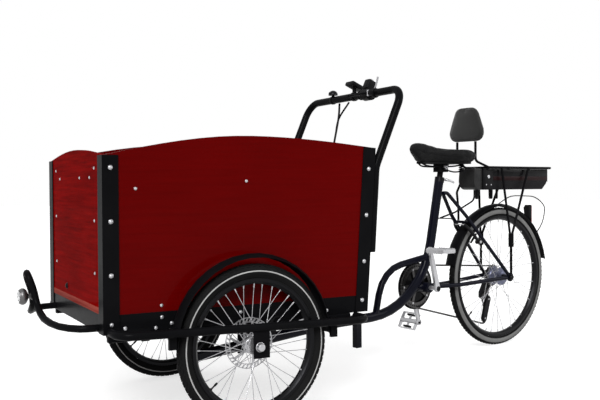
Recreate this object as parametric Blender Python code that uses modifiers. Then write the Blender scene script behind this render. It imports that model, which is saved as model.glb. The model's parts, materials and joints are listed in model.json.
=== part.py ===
# Electric cargo tricycle: a wooden box on two steered front wheels, pushed by a step-through
# rear frame with a crank drive. Metres, +X forward along the rear frame, +Y left, +Z up.
import math

import bmesh
import bpy
from mathutils import Matrix, Vector

for leftover in list(bpy.data.objects):
    bpy.data.objects.remove(leftover, do_unlink=True)

# Driving sizes
WHEELBASE = 1.56
FRONT_TRACK = 0.78
STEERING_TRAIL = 0.08
PARKED_STEER = math.radians(-8.0)
FRONT_TYRE_RADIUS = 0.25
FRONT_TYRE_WIDTH = 0.045
FRONT_TYRE_HEIGHT = 0.043
REAR_TYRE_RADIUS = 0.316
REAR_TYRE_WIDTH = 0.040
REAR_TYRE_HEIGHT = 0.037
FRONT_SEGMENTS = 42
REAR_SEGMENTS = 46
SEAT = 0.0003
OVERRUN = 0.004
WELD = 0.00005

# Cargo box
BOX_LENGTH = 0.90
BOX_WIDTH = 0.68
BOX_WALL = 0.012
BOX_FLOOR = 0.012
BOX_FRONT_CORNER = 0.826
BOX_REAR_CORNER = 0.861
BOX_CROWN = 0.891
BOX_CROWN_SHARE = 0.53
BOX_END_RISE = 0.026
BOX_REAR_LEAN = math.radians(3.75)
POST_FLANGE = 0.048
POST_WALL = 0.003
POST_FOOT = 0.310

# Front sub-frame
SILL_FOOT = 0.310
SILL_HEIGHT = 0.0555
SILL_WALL = 0.030
CROSS_BAR = 0.040
CROSS_BAR_HEIGHT = 0.030
PIVOT_PLATE = 0.130
PIVOT_PLATE_WALL = 0.008
KINGPIN_RADIUS = 0.014
KINGPIN_FOOT = 0.106
KINGPIN_NUT_RADIUS = 0.022
KINGPIN_NUT_HEIGHT = 0.012
RAIL_RADIUS = 0.0125
RAIL_OFFSET = 0.043
RAIL_FRONT_HEIGHT = 0.318
RAIL_REAR_HEIGHT = 0.300
RAIL_BEND = 0.055
RAIL_FRONT = 0.430
RAIL_REAR = 0.400
PLATE_WIDTH = 0.053
PLATE_WALL = 0.005
OUTER_PLATE_SHIFT = 0.006
PLATE_DROP = 0.034
INNER_PLATE_REACH = 0.057

# Front wheels and hubs
RIM_DEPTH = 0.020
RIM_WIDTH = 0.030
RIM_LIP = 0.003
SPOKE_RADIUS = 0.0013
SPOKES_PER_FLANGE = 18
SPOKE_LACING = math.radians(60)
SPOKE_STAGGER = 0.0022
SPOKE_RIM_STAGGER = 0.0015
SPOKE_SIDES = 4
FLANGE_WALL = 0.0075
FRONT_FLANGE_RADIUS = 0.030
FRONT_FLANGE_SPREAD = 0.020
FRONT_BARREL_RADIUS = 0.018
AXLE_RADIUS = 0.006
AXLE_BORE_GAP = 0.0006
AXLE_NUT_RADIUS = 0.0125
AXLE_NUT_HEIGHT = 0.012
ROTOR_RADIUS = 0.080
ROTOR_WALL = 0.002
ROTOR_OFFSET = 0.0345

# Fenders
FRONT_FENDER_RADIUS = 0.264
FRONT_FENDER_LIFT = 0.016
FENDER_TAB_DROP = 0.050
FENDER_TAB_REACH = 0.0175
FENDER_WIDTH = 0.054
FENDER_WALL = 0.0025
FENDER_CROWN = 0.010
REAR_FENDER_CLEARANCE = 0.016
REAR_FENDER_START = math.radians(12)
REAR_FENDER_END = math.radians(169)
FENDER_STEPS = 19
FENDER_CLIP = 0.006
FENDER_CLIP_WIDTH = 0.016
FENDER_BRIDGE_RADIUS = 0.0065
LIGHT_FACET = 14

# Bumper and headlight
BUMPER_RADIUS = 0.011
BUMPER_ROOT = 0.270
BUMPER_REACH = 0.125
BUMPER_NOSE = 0.148
BUMPER_HEIGHT = 0.3225
BUMPER_TOP = 0.468
BUMPER_GAP = 0.022
HEADLIGHT_RADIUS = 0.0265
HEADLIGHT_LENGTH = 0.034
HEADLIGHT_HEIGHT = 0.395

# Handlebar, measured from the front axle
BAR_RADIUS = 0.0140
BAR_HALF_WIDTH = 0.324
BAR_FOOT = 0.510
BAR_KNEE = 0.797
BAR_FLAT_SHARE = 0.926
BAR_TOP = 1.072
BAR_TOP_BACK = 0.613
BAR_CORNER_BEND = 0.060
BAR_KNEE_BEND = 0.090
CLAMP_WALL = 0.003
BELL_RADIUS = 0.019
BELL_SIDE = 0.145
DISPLAY_SIDE = 0.010
LEVER_SIDE = 0.105
LEVER_LENGTH = 0.110
HOUSING_RADIUS = 0.024
DISPLAY_LENGTH = 0.060
DISPLAY_THICKNESS = 0.018
DISPLAY_TILT = math.radians(24)

# Rear frame, measured from the steering axis
MAIN_RADIUS = 0.025
HEAD_RADIUS = 0.022
HEAD_FOOT = 0.118
HEAD_TOP = 0.290
HEAD_GAP = 0.001
MAIN_START = 0.142
MAIN_RISE_DROP = 0.104
MAIN_RISE_BACK = 0.610
MAIN_LOW_DROP = 0.097
SEAT_TUBE_TOP = 0.765
SEAT_ANGLE = math.radians(78.5)
MAIN_BEND = 0.360
MAIN_SLIM_SHARE = 0.80
LOOP_RADIUS = 0.014
LOOP_START_BACK = 0.883
LOOP_JOINT = 0.430
LOOP_BEND = 0.150
CRANK_AXIS_HEIGHT = 0.300
CHAINSTAY = 0.476
SHELL_RADIUS = 0.021
SHELL_WIDTH = 0.070
STAY_RADIUS = 0.009
SEATSTAY_RADIUS = 0.008
STAY_CLEARANCE = 0.013
STAY_ROOT_SIDE = 0.022
SEATSTAY_TOP = 0.700
DROPOUT_SIDE = 0.073
DROPOUT_RADIUS = 0.020
FOOT_SIZE = 0.026
FOOT_BACK = 0.785
FOOT_TIP = 0.088

# Rear wheel
REAR_FLANGE_RADIUS = 0.042
REAR_FLANGE_SPREAD = 0.022
REAR_BARREL_RADIUS = 0.034
SPROCKET_COUNT = 7
SPROCKET_PITCH = 0.0045
SPROCKET_WALL = 0.0020
SPROCKET_LARGE = 0.050
SPROCKET_STEP = 0.0040
CASSETTE_START = 0.031
CHAIN_SPROCKET = 3

# Crank and chain
CRANK_LENGTH = 0.170
CRANK_LEAD = math.radians(14.2)
CRANK_WIDTH = 0.026
CRANK_WALL = 0.013
CRANK_SIDE = 0.076
SPINDLE_RADIUS = 0.009
CHAINRING_RADIUS = 0.086
CHAINRING_WALL = 0.003
CHAIN_HEIGHT = 0.009
CHAIN_WIDTH = 0.0062
CHAIN_CLEARANCE = 0.0010
GUARD_RADIUS = 0.101
GUARD_WALL = 0.003
GUARD_SIDE = 0.054
PEDAL_LENGTH = 0.098
PEDAL_WIDTH = 0.074
PEDAL_HEIGHT = 0.022
PEDAL_WALL = 0.008
PEDAL_PIN_RADIUS = 0.006
PEDAL_CORE_RADIUS = 0.011
LOWER_PEDAL_TILT = math.radians(62)
PULLEY_RADIUS = 0.020
CAGE_DROP = 0.130
CAGE_UPPER_DROP = 0.075

# Saddle and backrest
POST_RADIUS = 0.0125
SADDLE_NOSE_BACK = 1.086
SADDLE_LENGTH = 0.310
SADDLE_WIDTH = 0.245
SADDLE_NOSE_WIDTH = 0.052
SADDLE_TOP = 0.914
SADDLE_HEIGHT = 0.089
CLAMP_DROP = 0.022
BACKREST_RISE = 0.114
BACKREST_HEIGHT = 0.146
BACKREST_WIDTH = 0.186
BACKREST_TOP_WIDTH = 0.115
BACKREST_THICKNESS = 0.032
BACKREST_BACK = 1.430
BACKREST_ROD_SPREAD = 0.106
BACKREST_ROD_RISE = 0.028

# Rack and electrics
RACK_FRONT_BACK = 1.500
RACK_REAR_BACK = 1.962
RACK_CLEARANCE = 0.1647
RACK_VEE_FRONT = 0.040
RACK_VEE_REAR = 0.150
RACK_VEE_FOOT = 0.514
RACK_STAY_SIDE = 0.026
RACK_STAY_RISE = 0.050
RACK_HALF_WIDTH = 0.068
RACK_ROD_RADIUS = 0.0055
RACK_BAR_SHARE = 0.93
RACK_LEG_RADIUS = 0.006
RACK_SLEEVE_RADIUS = 0.012
RACK_SLEEVE_LENGTH = 0.060
BATTERY_FRONT_BACK = 1.485
BATTERY_REAR_BACK = 1.943
BATTERY_HALF_WIDTH = 0.055
BATTERY_HEIGHT = 0.094
CASE_FRONT_BACK = 1.430
CASE_HALF_WIDTH = 0.045
TAIL_LIGHT_WIDTH = 0.034
TAIL_LIGHT_HEIGHT = 0.064
TAIL_LIGHT_DEPTH = 0.024
HOOP_RADIUS = 0.0025
LEAD_RADIUS = 0.004
LEAD_BEND = 0.030
CABLE_FORK_DROP = 0.082
CABLE_FALL = 0.130
CABLE_HANG_BACK = 0.558
CABLE_SIDE = 0.062
CABLE_SPREAD = 0.035

# Worked-out places
FRONT_AXLE_HEIGHT = FRONT_TYRE_RADIUS * math.cos(math.pi / FRONT_SEGMENTS)
REAR_AXLE_HEIGHT = REAR_TYRE_RADIUS * math.cos(math.pi / REAR_SEGMENTS)
REAR_AXLE_BACK = WHEELBASE + STEERING_TRAIL
CRANK_RUN = math.sqrt(CHAINSTAY ** 2 - (REAR_AXLE_HEIGHT - CRANK_AXIS_HEIGHT) ** 2)
CRANK_BACK = REAR_AXLE_BACK - CRANK_RUN
WHEEL_SIDE = FRONT_TRACK / 2
BOX_HALF = BOX_LENGTH / 2
SIDE_HALF = BOX_WIDTH / 2
PANEL_HALF = SIDE_HALF - POST_WALL - SEAT
RAIL_SIDE = WHEEL_SIDE + RAIL_OFFSET
BOX_FOOT = SILL_FOOT + SILL_HEIGHT + SEAT
FRAME_HALF = BOX_HALF - POST_WALL - SEAT
CHAIN_LINE = CASSETTE_START + CHAIN_SPROCKET * SPROCKET_PITCH + SPROCKET_WALL / 2
CHAIN_SPROCKET_RADIUS = SPROCKET_LARGE - CHAIN_SPROCKET * SPROCKET_STEP
REAR_FENDER_RADIUS = REAR_TYRE_RADIUS + REAR_FENDER_CLEARANCE
RACK_HEIGHT = REAR_AXLE_HEIGHT + REAR_FENDER_RADIUS + RACK_CLEARANCE
BATTERY_TOP = RACK_HEIGHT - RACK_ROD_RADIUS - SEAT
BATTERY_FOOT = BATTERY_TOP - BATTERY_HEIGHT
BACKREST_LOW = RACK_HEIGHT + BACKREST_RISE
CABLE_FORK = BAR_TOP - CABLE_FORK_DROP
CABLE_HANG = CABLE_FORK - CABLE_FALL
MAIN_RISE = CRANK_AXIS_HEIGHT - MAIN_RISE_DROP
MAIN_LOW = CRANK_AXIS_HEIGHT - MAIN_LOW_DROP
SADDLE_FOOT = SADDLE_TOP - SADDLE_HEIGHT
CLAMP_HEIGHT = SADDLE_FOOT - CLAMP_DROP


def seat_line(height):
    # Distance behind the steering axis of the seat tube's centre line at a height
    return CRANK_BACK + (height - CRANK_AXIS_HEIGHT) / math.tan(SEAT_ANGLE)


def seat_tube_back(height, radius):
    # Where a level bar of a radius ends against the back of the seat tube
    slim = MAIN_RADIUS * MAIN_SLIM_SHARE / math.sin(SEAT_ANGLE)
    return seat_line(height) + slim + radius / math.tan(SEAT_ANGLE) + SEAT


# Collections
def new_collection(name):
    found = bpy.data.collections.new(name)
    bpy.context.scene.collection.children.link(found)
    return found


PARTS = new_collection("electric_cargo_tricycle")
CUTTERS = new_collection("cutters")

# Finishes: colour, roughness, metallic
FINISHES = {
    "red_lacquer": ((0.20, 0.004, 0.004, 1), 0.25, 0.0),
    "black_paint": ((0.012, 0.012, 0.014, 1), 0.35, 0.0),
    "navy_paint": ((0.008, 0.009, 0.018, 1), 0.30, 0.0),
    "black_plastic": ((0.015, 0.015, 0.016, 1), 0.50, 0.0),
    "silver_metal": ((0.62, 0.62, 0.63, 1), 0.30, 1.0),
    "black_alloy": ((0.03, 0.03, 0.03, 1), 0.40, 0.6),
    "tyre_rubber": ((0.016, 0.016, 0.016, 1), 0.80, 0.0),
    "saddle_cover": ((0.014, 0.014, 0.015, 1), 0.55, 0.0),
    "red_lens": ((0.30, 0.01, 0.01, 1), 0.15, 0.0),
    "chain_steel": ((0.10, 0.10, 0.10, 1), 0.45, 0.9),
}


def finish(name):
    found = bpy.data.materials.get(name)
    if found is None:
        colour, roughness, metallic = FINISHES[name]
        found = bpy.data.materials.new(name)
        found.use_nodes = True
        shader = found.node_tree.nodes["Principled BSDF"]
        shader.inputs["Base Color"].default_value = colour
        shader.inputs["Roughness"].default_value = roughness
        shader.inputs["Metallic"].default_value = metallic
        found.diffuse_color = colour
    return found


# Datums that carry the pieces
def datum(name, place, carrier=None, turn=(0, 0, 0)):
    empty = bpy.data.objects.new(name, None)
    empty.location = place
    empty.rotation_euler = turn
    empty.parent = carrier
    PARTS.objects.link(empty)
    return empty


GROUND = datum("ground_datum", (0, 0, 0))
STEERING = datum("steering_datum", (0, 0, 0), GROUND, (0, 0, PARKED_STEER))
FRONT = datum("front_axle_datum", (-STEERING_TRAIL, 0, 0), STEERING)


# Shape helpers
def add_object(name, data, carrier, finish_name, place=(0, 0, 0), turn=(0, 0, 0)):
    item = bpy.data.objects.new(name, data)
    if not data.materials:
        data.materials.append(finish(finish_name))
    item.parent = carrier
    item.location = place
    item.rotation_euler = turn
    PARTS.objects.link(item)
    return item


def mesh_from(form, name):
    mesh = bpy.data.meshes.new(name)
    form.to_mesh(mesh)
    form.free()
    mesh.shade_smooth()
    mesh.set_sharp_from_angle(angle=math.radians(35))
    return mesh


def block(name, low, high, carrier, finish_name, place=(0, 0, 0), turn=(0, 0, 0)):
    # A box between two opposite corners
    form = bmesh.new()
    size = [top - bottom for bottom, top in zip(low, high)]
    middle = [(top + bottom) / 2 for bottom, top in zip(low, high)]
    move = Matrix.Translation(middle) @ Matrix.Diagonal((*size, 1))
    bmesh.ops.create_cube(form, size=1, matrix=move)
    return add_object(name, mesh_from(form, name), carrier, finish_name, place, turn)


def rod_matrix(start, end):
    start, end = Vector(start), Vector(end)
    run = end - start
    turn = run.to_track_quat("Z", "Y").to_matrix().to_4x4()
    return Matrix.Translation((start + end) / 2) @ turn, run.length


def rod(name, start, end, radius, carrier, finish_name, sides=12, place=(0, 0, 0), tip=None):
    # A round bar, or a cone when the tip has its own radius
    form = bmesh.new()
    move, length = rod_matrix(start, end)
    tip = radius if tip is None else tip
    bmesh.ops.create_cone(form, cap_ends=True, segments=sides, radius1=radius, radius2=tip,
                          depth=length, matrix=move)
    return add_object(name, mesh_from(form, name), carrier, finish_name, place)


def bent_path(corners, bends, step=math.radians(18)):
    # Straight runs between corners with a round bend at each inner corner
    points = [Vector(corners[0])]
    for index in range(1, len(corners) - 1):
        before, here, after = (Vector(corners[index + shift]) for shift in (-1, 0, 1))
        back = (before - here).normalized()
        ahead = (after - here).normalized()
        inner = back.angle(ahead)
        bend = bends[index - 1]
        reach = bend / math.tan(inner / 2)
        centre = here + (back + ahead).normalized() * bend / math.sin(inner / 2)
        start = here + back * reach - centre
        end = here + ahead * reach - centre
        sweep = start.angle(end)
        count = max(2, math.ceil(sweep / step))
        for tick in range(count + 1):
            share = tick / count
            mix = start * math.sin((1 - share) * sweep) + end * math.sin(share * sweep)
            points.append(centre + mix / math.sin(sweep))
    points.append(Vector(corners[-1]))
    return points


def smooth_path(knots, ticks=6):
    # A smooth curve through hand-placed points
    knots = [Vector(knot) for knot in knots]
    ends = [knots[0] * 2 - knots[1]] + knots + [knots[-1] * 2 - knots[-2]]
    points = []
    for index in range(1, len(ends) - 2):
        one, two, three, four = ends[index - 1:index + 3]
        for tick in range(ticks):
            t = tick / ticks
            points.append((two * 2 + (three - one) * t
                           + (one * 2 - two * 5 + three * 4 - four) * t ** 2
                           + (two * 3 - one - three * 3 + four) * t ** 3) / 2)
    points.append(knots[-1])
    return points


def tube(name, points, radius, carrier, finish_name, fineness=3):
    # A round tube along points, closed at both ends, as a mesh
    curve = bpy.data.curves.new(name, "CURVE")
    curve.dimensions = "3D"
    curve.bevel_depth = radius
    curve.bevel_resolution = fineness
    curve.use_fill_caps = True
    line = curve.splines.new("POLY")
    line.points.add(len(points) - 1)
    for spot, point in zip(line.points, points):
        spot.co = (*point, 1)
    return as_mesh(add_object(name + "_path", curve, carrier, finish_name), name)


def as_mesh(source, name):
    # The mesh of a curve, with its caps welded on
    bpy.context.view_layer.update()
    seen = source.evaluated_get(bpy.context.evaluated_depsgraph_get())
    mesh = bpy.data.meshes.new_from_object(seen)
    form = bmesh.new()
    form.from_mesh(mesh)
    bmesh.ops.remove_doubles(form, verts=form.verts, dist=WELD / 50)
    form.to_mesh(mesh)
    form.free()
    mesh.name = name
    mesh.shade_smooth()
    mesh.set_sharp_from_angle(angle=math.radians(35))
    item = bpy.data.objects.new(name, mesh)
    item.parent = source.parent
    item.location = source.location
    item.rotation_euler = source.rotation_euler
    PARTS.objects.link(item)
    bpy.data.objects.remove(source, do_unlink=True)
    return item


def plate(name, outlines, thickness, carrier, finish_name, place=(0, 0, 0), turn=(0, 0, 0)):
    # A flat plate from closed outlines in its own XY plane, later outlines being holes
    curve = bpy.data.curves.new(name, "CURVE")
    curve.dimensions = "2D"
    curve.fill_mode = "BOTH"
    curve.extrude = thickness / 2
    for outline in outlines:
        line = curve.splines.new("POLY")
        line.points.add(len(outline) - 1)
        line.use_cyclic_u = True
        for spot, point in zip(line.points, outline):
            spot.co = (point[0], point[1], 0, 1)
    return as_mesh(add_object(name + "_outline", curve, carrier, finish_name, place, turn), name)


SIDEWAYS = (-math.pi / 2, 0, 0)


def turned(name, profile, segments, carrier, finish_name, place=(0, 0, 0), turn=SIDEWAYS):
    # A solid of revolution: profile points are (radius, height along the axis), from top to
    # bottom on the outer side; a profile that starts on the axis ends on it
    form = bmesh.new()
    spots = [form.verts.new((radius, 0, along)) for radius, along in profile]
    closing = [] if profile[0][0] == 0 else [(spots[-1], spots[0])]
    for pair in list(zip(spots, spots[1:])) + closing:
        form.edges.new(pair)
    mesh = bpy.data.meshes.new(name)
    form.to_mesh(mesh)
    form.free()
    item = add_object(name, mesh, carrier, finish_name, place, turn)
    screw = item.modifiers.new("turn", "SCREW")
    screw.axis = "Z"
    screw.steps = segments
    screw.render_steps = segments
    screw.use_merge_vertices = True
    screw.merge_threshold = WELD
    screw.use_smooth_shade = True
    return item


def hide_tool(tool):
    for group in tool.users_collection:
        group.objects.unlink(tool)
    CUTTERS.objects.link(tool)
    tool.display_type = "WIRE"
    tool.hide_render = True


def combine(item, tools, operation):
    for tool in tools:
        joint = item.modifiers.new(tool.name, "BOOLEAN")
        joint.operation = operation
        joint.object = tool
        hide_tool(tool)
    return item


def unite(item, *tools):
    return combine(item, tools, "UNION")


def cut(item, *tools):
    return combine(item, tools, "DIFFERENCE")


def arc(centre, radius, start, end, count):
    return [(centre[0] + radius * math.cos(start + (end - start) * tick / count),
             centre[1] + radius * math.sin(start + (end - start) * tick / count))
            for tick in range(count + 1)]


# Wheels
def tyre_profile(radius, width, height):
    # Round tread, sidewalls pulled in to the bead, flat inside where the rim sits
    bead = radius - height
    half = width / 2
    crown = [(radius - half * (1 - math.sin(angle)), half * math.cos(angle))
             for angle in (math.radians(-8 + 24.5 * tick) for tick in range(9))]
    foot = RIM_WIDTH / 2 - RIM_LIP / 2
    return [(bead, foot)] + crown + [(bead, -foot)]


def rim_profile(bead):
    half = RIM_WIDTH / 2
    return [(bead, half), (bead, -half), (bead - RIM_DEPTH / 2, -half),
            (bead - RIM_DEPTH, -half / 3), (bead - RIM_DEPTH, half / 3), (bead - RIM_DEPTH / 2, half)]


def spokes(name, hub_radius, spread, tip_radius, carrier, place):
    # Tangent laced wire spokes, outer and inner ones staggered across each flange
    form = bmesh.new()
    pitch = 2 * math.pi / SPOKES_PER_FLANGE
    for side in (1, -1):
        for index in range(SPOKES_PER_FLANGE):
            lead = 1 if index % 2 else -1
            root = index * pitch + (side > 0) * pitch / 2
            tip = root + lead * SPOKE_LACING
            start = Vector((hub_radius * math.cos(root), side * spread + lead * SPOKE_STAGGER,
                            hub_radius * math.sin(root)))
            end = Vector((tip_radius * math.cos(tip), side * SPOKE_RIM_STAGGER * 2
                          + lead * SPOKE_RIM_STAGGER, tip_radius * math.sin(tip)))
            move, length = rod_matrix(start, end)
            bmesh.ops.create_cone(form, cap_ends=True, segments=SPOKE_SIDES,
                                  radius1=SPOKE_RADIUS, radius2=SPOKE_RADIUS, depth=length,
                                  matrix=move)
    return add_object(name, mesh_from(form, name), carrier, "silver_metal", place)


def wheel(label, radius, width, height, segments, flange, spread, barrel, centre, carrier, extras):
    tyre = turned(label + "_tyre", tyre_profile(radius, width, height), segments, carrier,
                  "tyre_rubber", centre)
    bead = radius - height - SEAT
    rim = turned(label + "_rim", rim_profile(bead), segments, carrier, "black_alloy", centre)
    inner = (bead - RIM_DEPTH) * math.cos(math.pi / segments)
    bore = AXLE_RADIUS + AXLE_BORE_GAP
    end = spread + FLANGE_WALL
    profile = [(bore, end), (barrel * 2 / 3, end), (barrel * 2 / 3, spread + FLANGE_WALL / 2),
               (flange, spread + FLANGE_WALL / 2), (flange, spread - FLANGE_WALL / 2),
               (barrel, spread - FLANGE_WALL / 2)]
    mirrored = [(spot, -along) for spot, along in reversed(profile)]
    hub = turned(label + "_hub_and_spokes", profile + mirrored, 18, carrier, "silver_metal", centre)
    wires = spokes(label + "_spokes_tool", flange - SPOKE_RADIUS * 3, spread, inner - SEAT,
                   carrier, centre)
    unite(hub, wires, *extras)
    return tyre, rim, hub


def front_wheel(label, side):
    centre = (0, side * WHEEL_SIDE, FRONT_AXLE_HEIGHT)
    along = -side * ROTOR_OFFSET
    inner = FRONT_BARREL_RADIUS / 2
    rotor = turned(label + "_rotor_tool",
                   [(ROTOR_RADIUS, along + ROTOR_WALL / 2), (ROTOR_RADIUS, along - ROTOR_WALL / 2),
                    (inner, along - ROTOR_WALL / 2), (inner, along + ROTOR_WALL / 2)],
                   24, FRONT, "silver_metal", centre)
    boss_end = -side * (FRONT_FLANGE_SPREAD + FLANGE_WALL / 2)
    low, high = sorted((along, boss_end))
    boss = turned(label + "_boss_tool",
                  [(inner * 1.6, high), (inner * 1.6, low), (inner, low), (inner, high)],
                  16, FRONT, "silver_metal", centre)
    return wheel(label, FRONT_TYRE_RADIUS, FRONT_TYRE_WIDTH, FRONT_TYRE_HEIGHT, FRONT_SEGMENTS,
                 FRONT_FLANGE_RADIUS, FRONT_FLANGE_SPREAD, FRONT_BARREL_RADIUS, centre, FRONT,
                 (rotor, boss))


def rear_wheel():
    centre = (-REAR_AXLE_BACK, 0, REAR_AXLE_HEIGHT)
    return wheel("rear_wheel", REAR_TYRE_RADIUS, REAR_TYRE_WIDTH, REAR_TYRE_HEIGHT, REAR_SEGMENTS,
                 REAR_FLANGE_RADIUS, REAR_FLANGE_SPREAD, REAR_BARREL_RADIUS, centre, GROUND, ())


# Cargo box
BACK = datum("box_back_datum", (-BOX_HALF, 0, POST_FOOT), FRONT, (0, -BOX_REAR_LEAN, 0))
BACK_SLOPE = math.tan(BOX_REAR_LEAN)
SIDE_TURN = (math.pi / 2, 0, 0)
END_TURN = (math.pi / 2, 0, math.pi / 2)


def back_edge(height):
    # Rear edge of the side panels, leaning back from the foot of the posts
    return -FRAME_HALF - (height - POST_FOOT) * BACK_SLOPE


def box_top():
    # Top edge of a side panel from the front corner over the crown to the rear corner
    crown = FRAME_HALF - BOX_CROWN_SHARE * 2 * FRAME_HALF
    rear = back_edge(BOX_REAR_CORNER)
    steps = 8
    front_part = [(FRAME_HALF + (crown - FRAME_HALF) * tick / steps,
                   BOX_FRONT_CORNER + (BOX_CROWN - BOX_FRONT_CORNER)
                   * math.sin(math.pi / 2 * tick / steps)) for tick in range(steps)]
    rear_part = [(crown + (rear - crown) * tick / steps,
                  BOX_CROWN - (BOX_CROWN - BOX_REAR_CORNER)
                  * (1 - math.cos(math.pi / 2 * tick / steps))) for tick in range(steps + 1)]
    return front_part + rear_part


def side_panels():
    outline = [(back_edge(BOX_FOOT), BOX_FOOT), (FRAME_HALF, BOX_FOOT)] + box_top()
    for label, side in (("left", 1), ("right", -1)):
        plate("box_side_" + label, [outline], BOX_WALL, FRONT, "red_lacquer",
              (0, side * (PANEL_HALF - BOX_WALL / 2), 0), SIDE_TURN)


def end_outline(half, foot, corner):
    # An end panel with its arched top edge
    steps = 12
    top = [(half - 2 * half * tick / steps,
            corner + BOX_END_RISE * math.sin(math.pi * tick / steps)) for tick in range(steps + 1)]
    return [(-half, foot), (half, foot)] + top


def end_panels():
    half = PANEL_HALF - BOX_WALL - SEAT
    plate("box_front_panel", [end_outline(half, BOX_FOOT, BOX_FRONT_CORNER)], BOX_WALL, FRONT,
          "red_lacquer", (FRAME_HALF - BOX_WALL / 2, 0, 0), END_TURN)
    rise = 1 / math.cos(BOX_REAR_LEAN)
    drop = BOX_FOOT - POST_FOOT + BOX_WALL * BACK_SLOPE
    outline = end_outline(half, drop * rise, (BOX_REAR_CORNER - POST_FOOT) * rise)
    plate("box_rear_panel", [outline], BOX_WALL, BACK, "red_lacquer",
          (BOX_HALF - FRAME_HALF + BOX_WALL / 2, 0, 0), END_TURN)


def floor_board():
    inner = PANEL_HALF - BOX_WALL - SEAT
    front = FRAME_HALF - BOX_WALL - SEAT
    rear = -(back_edge(BOX_FOOT) + BOX_WALL + SEAT)
    block("box_floor", (-rear, -inner, BOX_FOOT), (front, inner, BOX_FOOT + BOX_FLOOR), FRONT,
          "red_lacquer")


def corner_posts():
    # Steel angles lapped over the corners of the box and the sill
    for label, side in (("left", 1), ("right", -1)):
        for end, carrier, sign, foot, top in (
                ("front", FRONT, 1, POST_FOOT, BOX_FRONT_CORNER),
                ("rear", BACK, -1, 0, (BOX_REAR_CORNER - POST_FOOT) / math.cos(BOX_REAR_LEAN))):
            face = BOX_HALF if carrier is FRONT else 0
            corner = (sign * face, side * SIDE_HALF)
            outline = [corner, (corner[0] - sign * POST_FLANGE, corner[1]),
                       (corner[0] - sign * POST_FLANGE, corner[1] - side * POST_WALL),
                       (corner[0] - sign * POST_WALL, corner[1] - side * POST_WALL),
                       (corner[0] - sign * POST_WALL, corner[1] - side * POST_FLANGE),
                       (corner[0], corner[1] - side * POST_FLANGE)]
            plate("corner_post_" + end + "_" + label, [outline], top - foot, carrier,
                  "black_paint", (0, 0, (top + foot) / 2))


# Front sub-frame under the box
def front_sub_frame():
    top = SILL_FOOT + SILL_HEIGHT
    ring = block("sub_frame", (-FRAME_HALF, -PANEL_HALF, SILL_FOOT),
                 (FRAME_HALF, PANEL_HALF, top), FRONT, "black_paint")
    inside = block("sill_opening", (-FRAME_HALF + SILL_WALL, -PANEL_HALF + SILL_WALL,
                                    SILL_FOOT - OVERRUN),
                   (FRAME_HALF - SILL_WALL, PANEL_HALF - SILL_WALL, top + OVERRUN), FRONT,
                   "black_paint")
    cut(ring, inside)
    bars = []
    reach = PANEL_HALF - SILL_WALL + OVERRUN
    for index, middle in enumerate((-BOX_HALF / 2, 0, STEERING_TRAIL, BOX_HALF * 2 / 3)):
        bars.append(block("cross_bar_%d" % index,
                          (middle - CROSS_BAR / 2, -reach, SILL_FOOT + OVERRUN / 4),
                          (middle + CROSS_BAR / 2, reach, SILL_FOOT + CROSS_BAR_HEIGHT), FRONT,
                          "black_paint"))
    half = PIVOT_PLATE / 2
    bars.append(block("pivot_plate", (STEERING_TRAIL - half, -half, SILL_FOOT - PIVOT_PLATE_WALL),
                      (STEERING_TRAIL + half, half, SILL_FOOT + OVERRUN), FRONT, "black_paint"))
    plate_top = SILL_FOOT - PIVOT_PLATE_WALL
    for name, low, high, radius in (
            ("kingpin", KINGPIN_FOOT, SILL_FOOT, KINGPIN_RADIUS),
            ("kingpin_crown", HEAD_TOP + HEAD_GAP, plate_top + OVERRUN, HEAD_RADIUS),
            ("kingpin_nut", KINGPIN_FOOT, KINGPIN_FOOT + KINGPIN_NUT_HEIGHT, KINGPIN_NUT_RADIUS)):
        bars.append(rod(name, (STEERING_TRAIL, 0, low), (STEERING_TRAIL, 0, high), radius, FRONT,
                        "black_paint", 20))
    for label, side in (("left", 1), ("right", -1)):
        face = side * (WHEEL_SIDE - INNER_PLATE_REACH)
        low, high = sorted((face, face - side * PLATE_WALL))
        bars.append(block("inner_plate_" + label,
                          (-PLATE_WIDTH / 2, low, FRONT_AXLE_HEIGHT - PLATE_DROP),
                          (PLATE_WIDTH / 2, high, SILL_FOOT + OVERRUN), FRONT, "black_paint"))
    unite(ring, *bars)
    for label, side in (("left", 1), ("right", -1)):
        face = side * (WHEEL_SIDE - INNER_PLATE_REACH)
        cut(ring, rod("inner_plate_hole_" + label,
                      (0, face - 2 * side * PLATE_WALL, FRONT_AXLE_HEIGHT),
                      (0, face + side * PLATE_WALL, FRONT_AXLE_HEIGHT), AXLE_RADIUS + SEAT,
                      FRONT, "black_paint", 16))


def rail_height(along):
    # Height of the rails' centre line, which drops towards the rear
    share = (RAIL_FRONT - along) / (RAIL_FRONT + RAIL_REAR)
    return RAIL_FRONT_HEIGHT + (RAIL_REAR_HEIGHT - RAIL_FRONT_HEIGHT) * share


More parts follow.
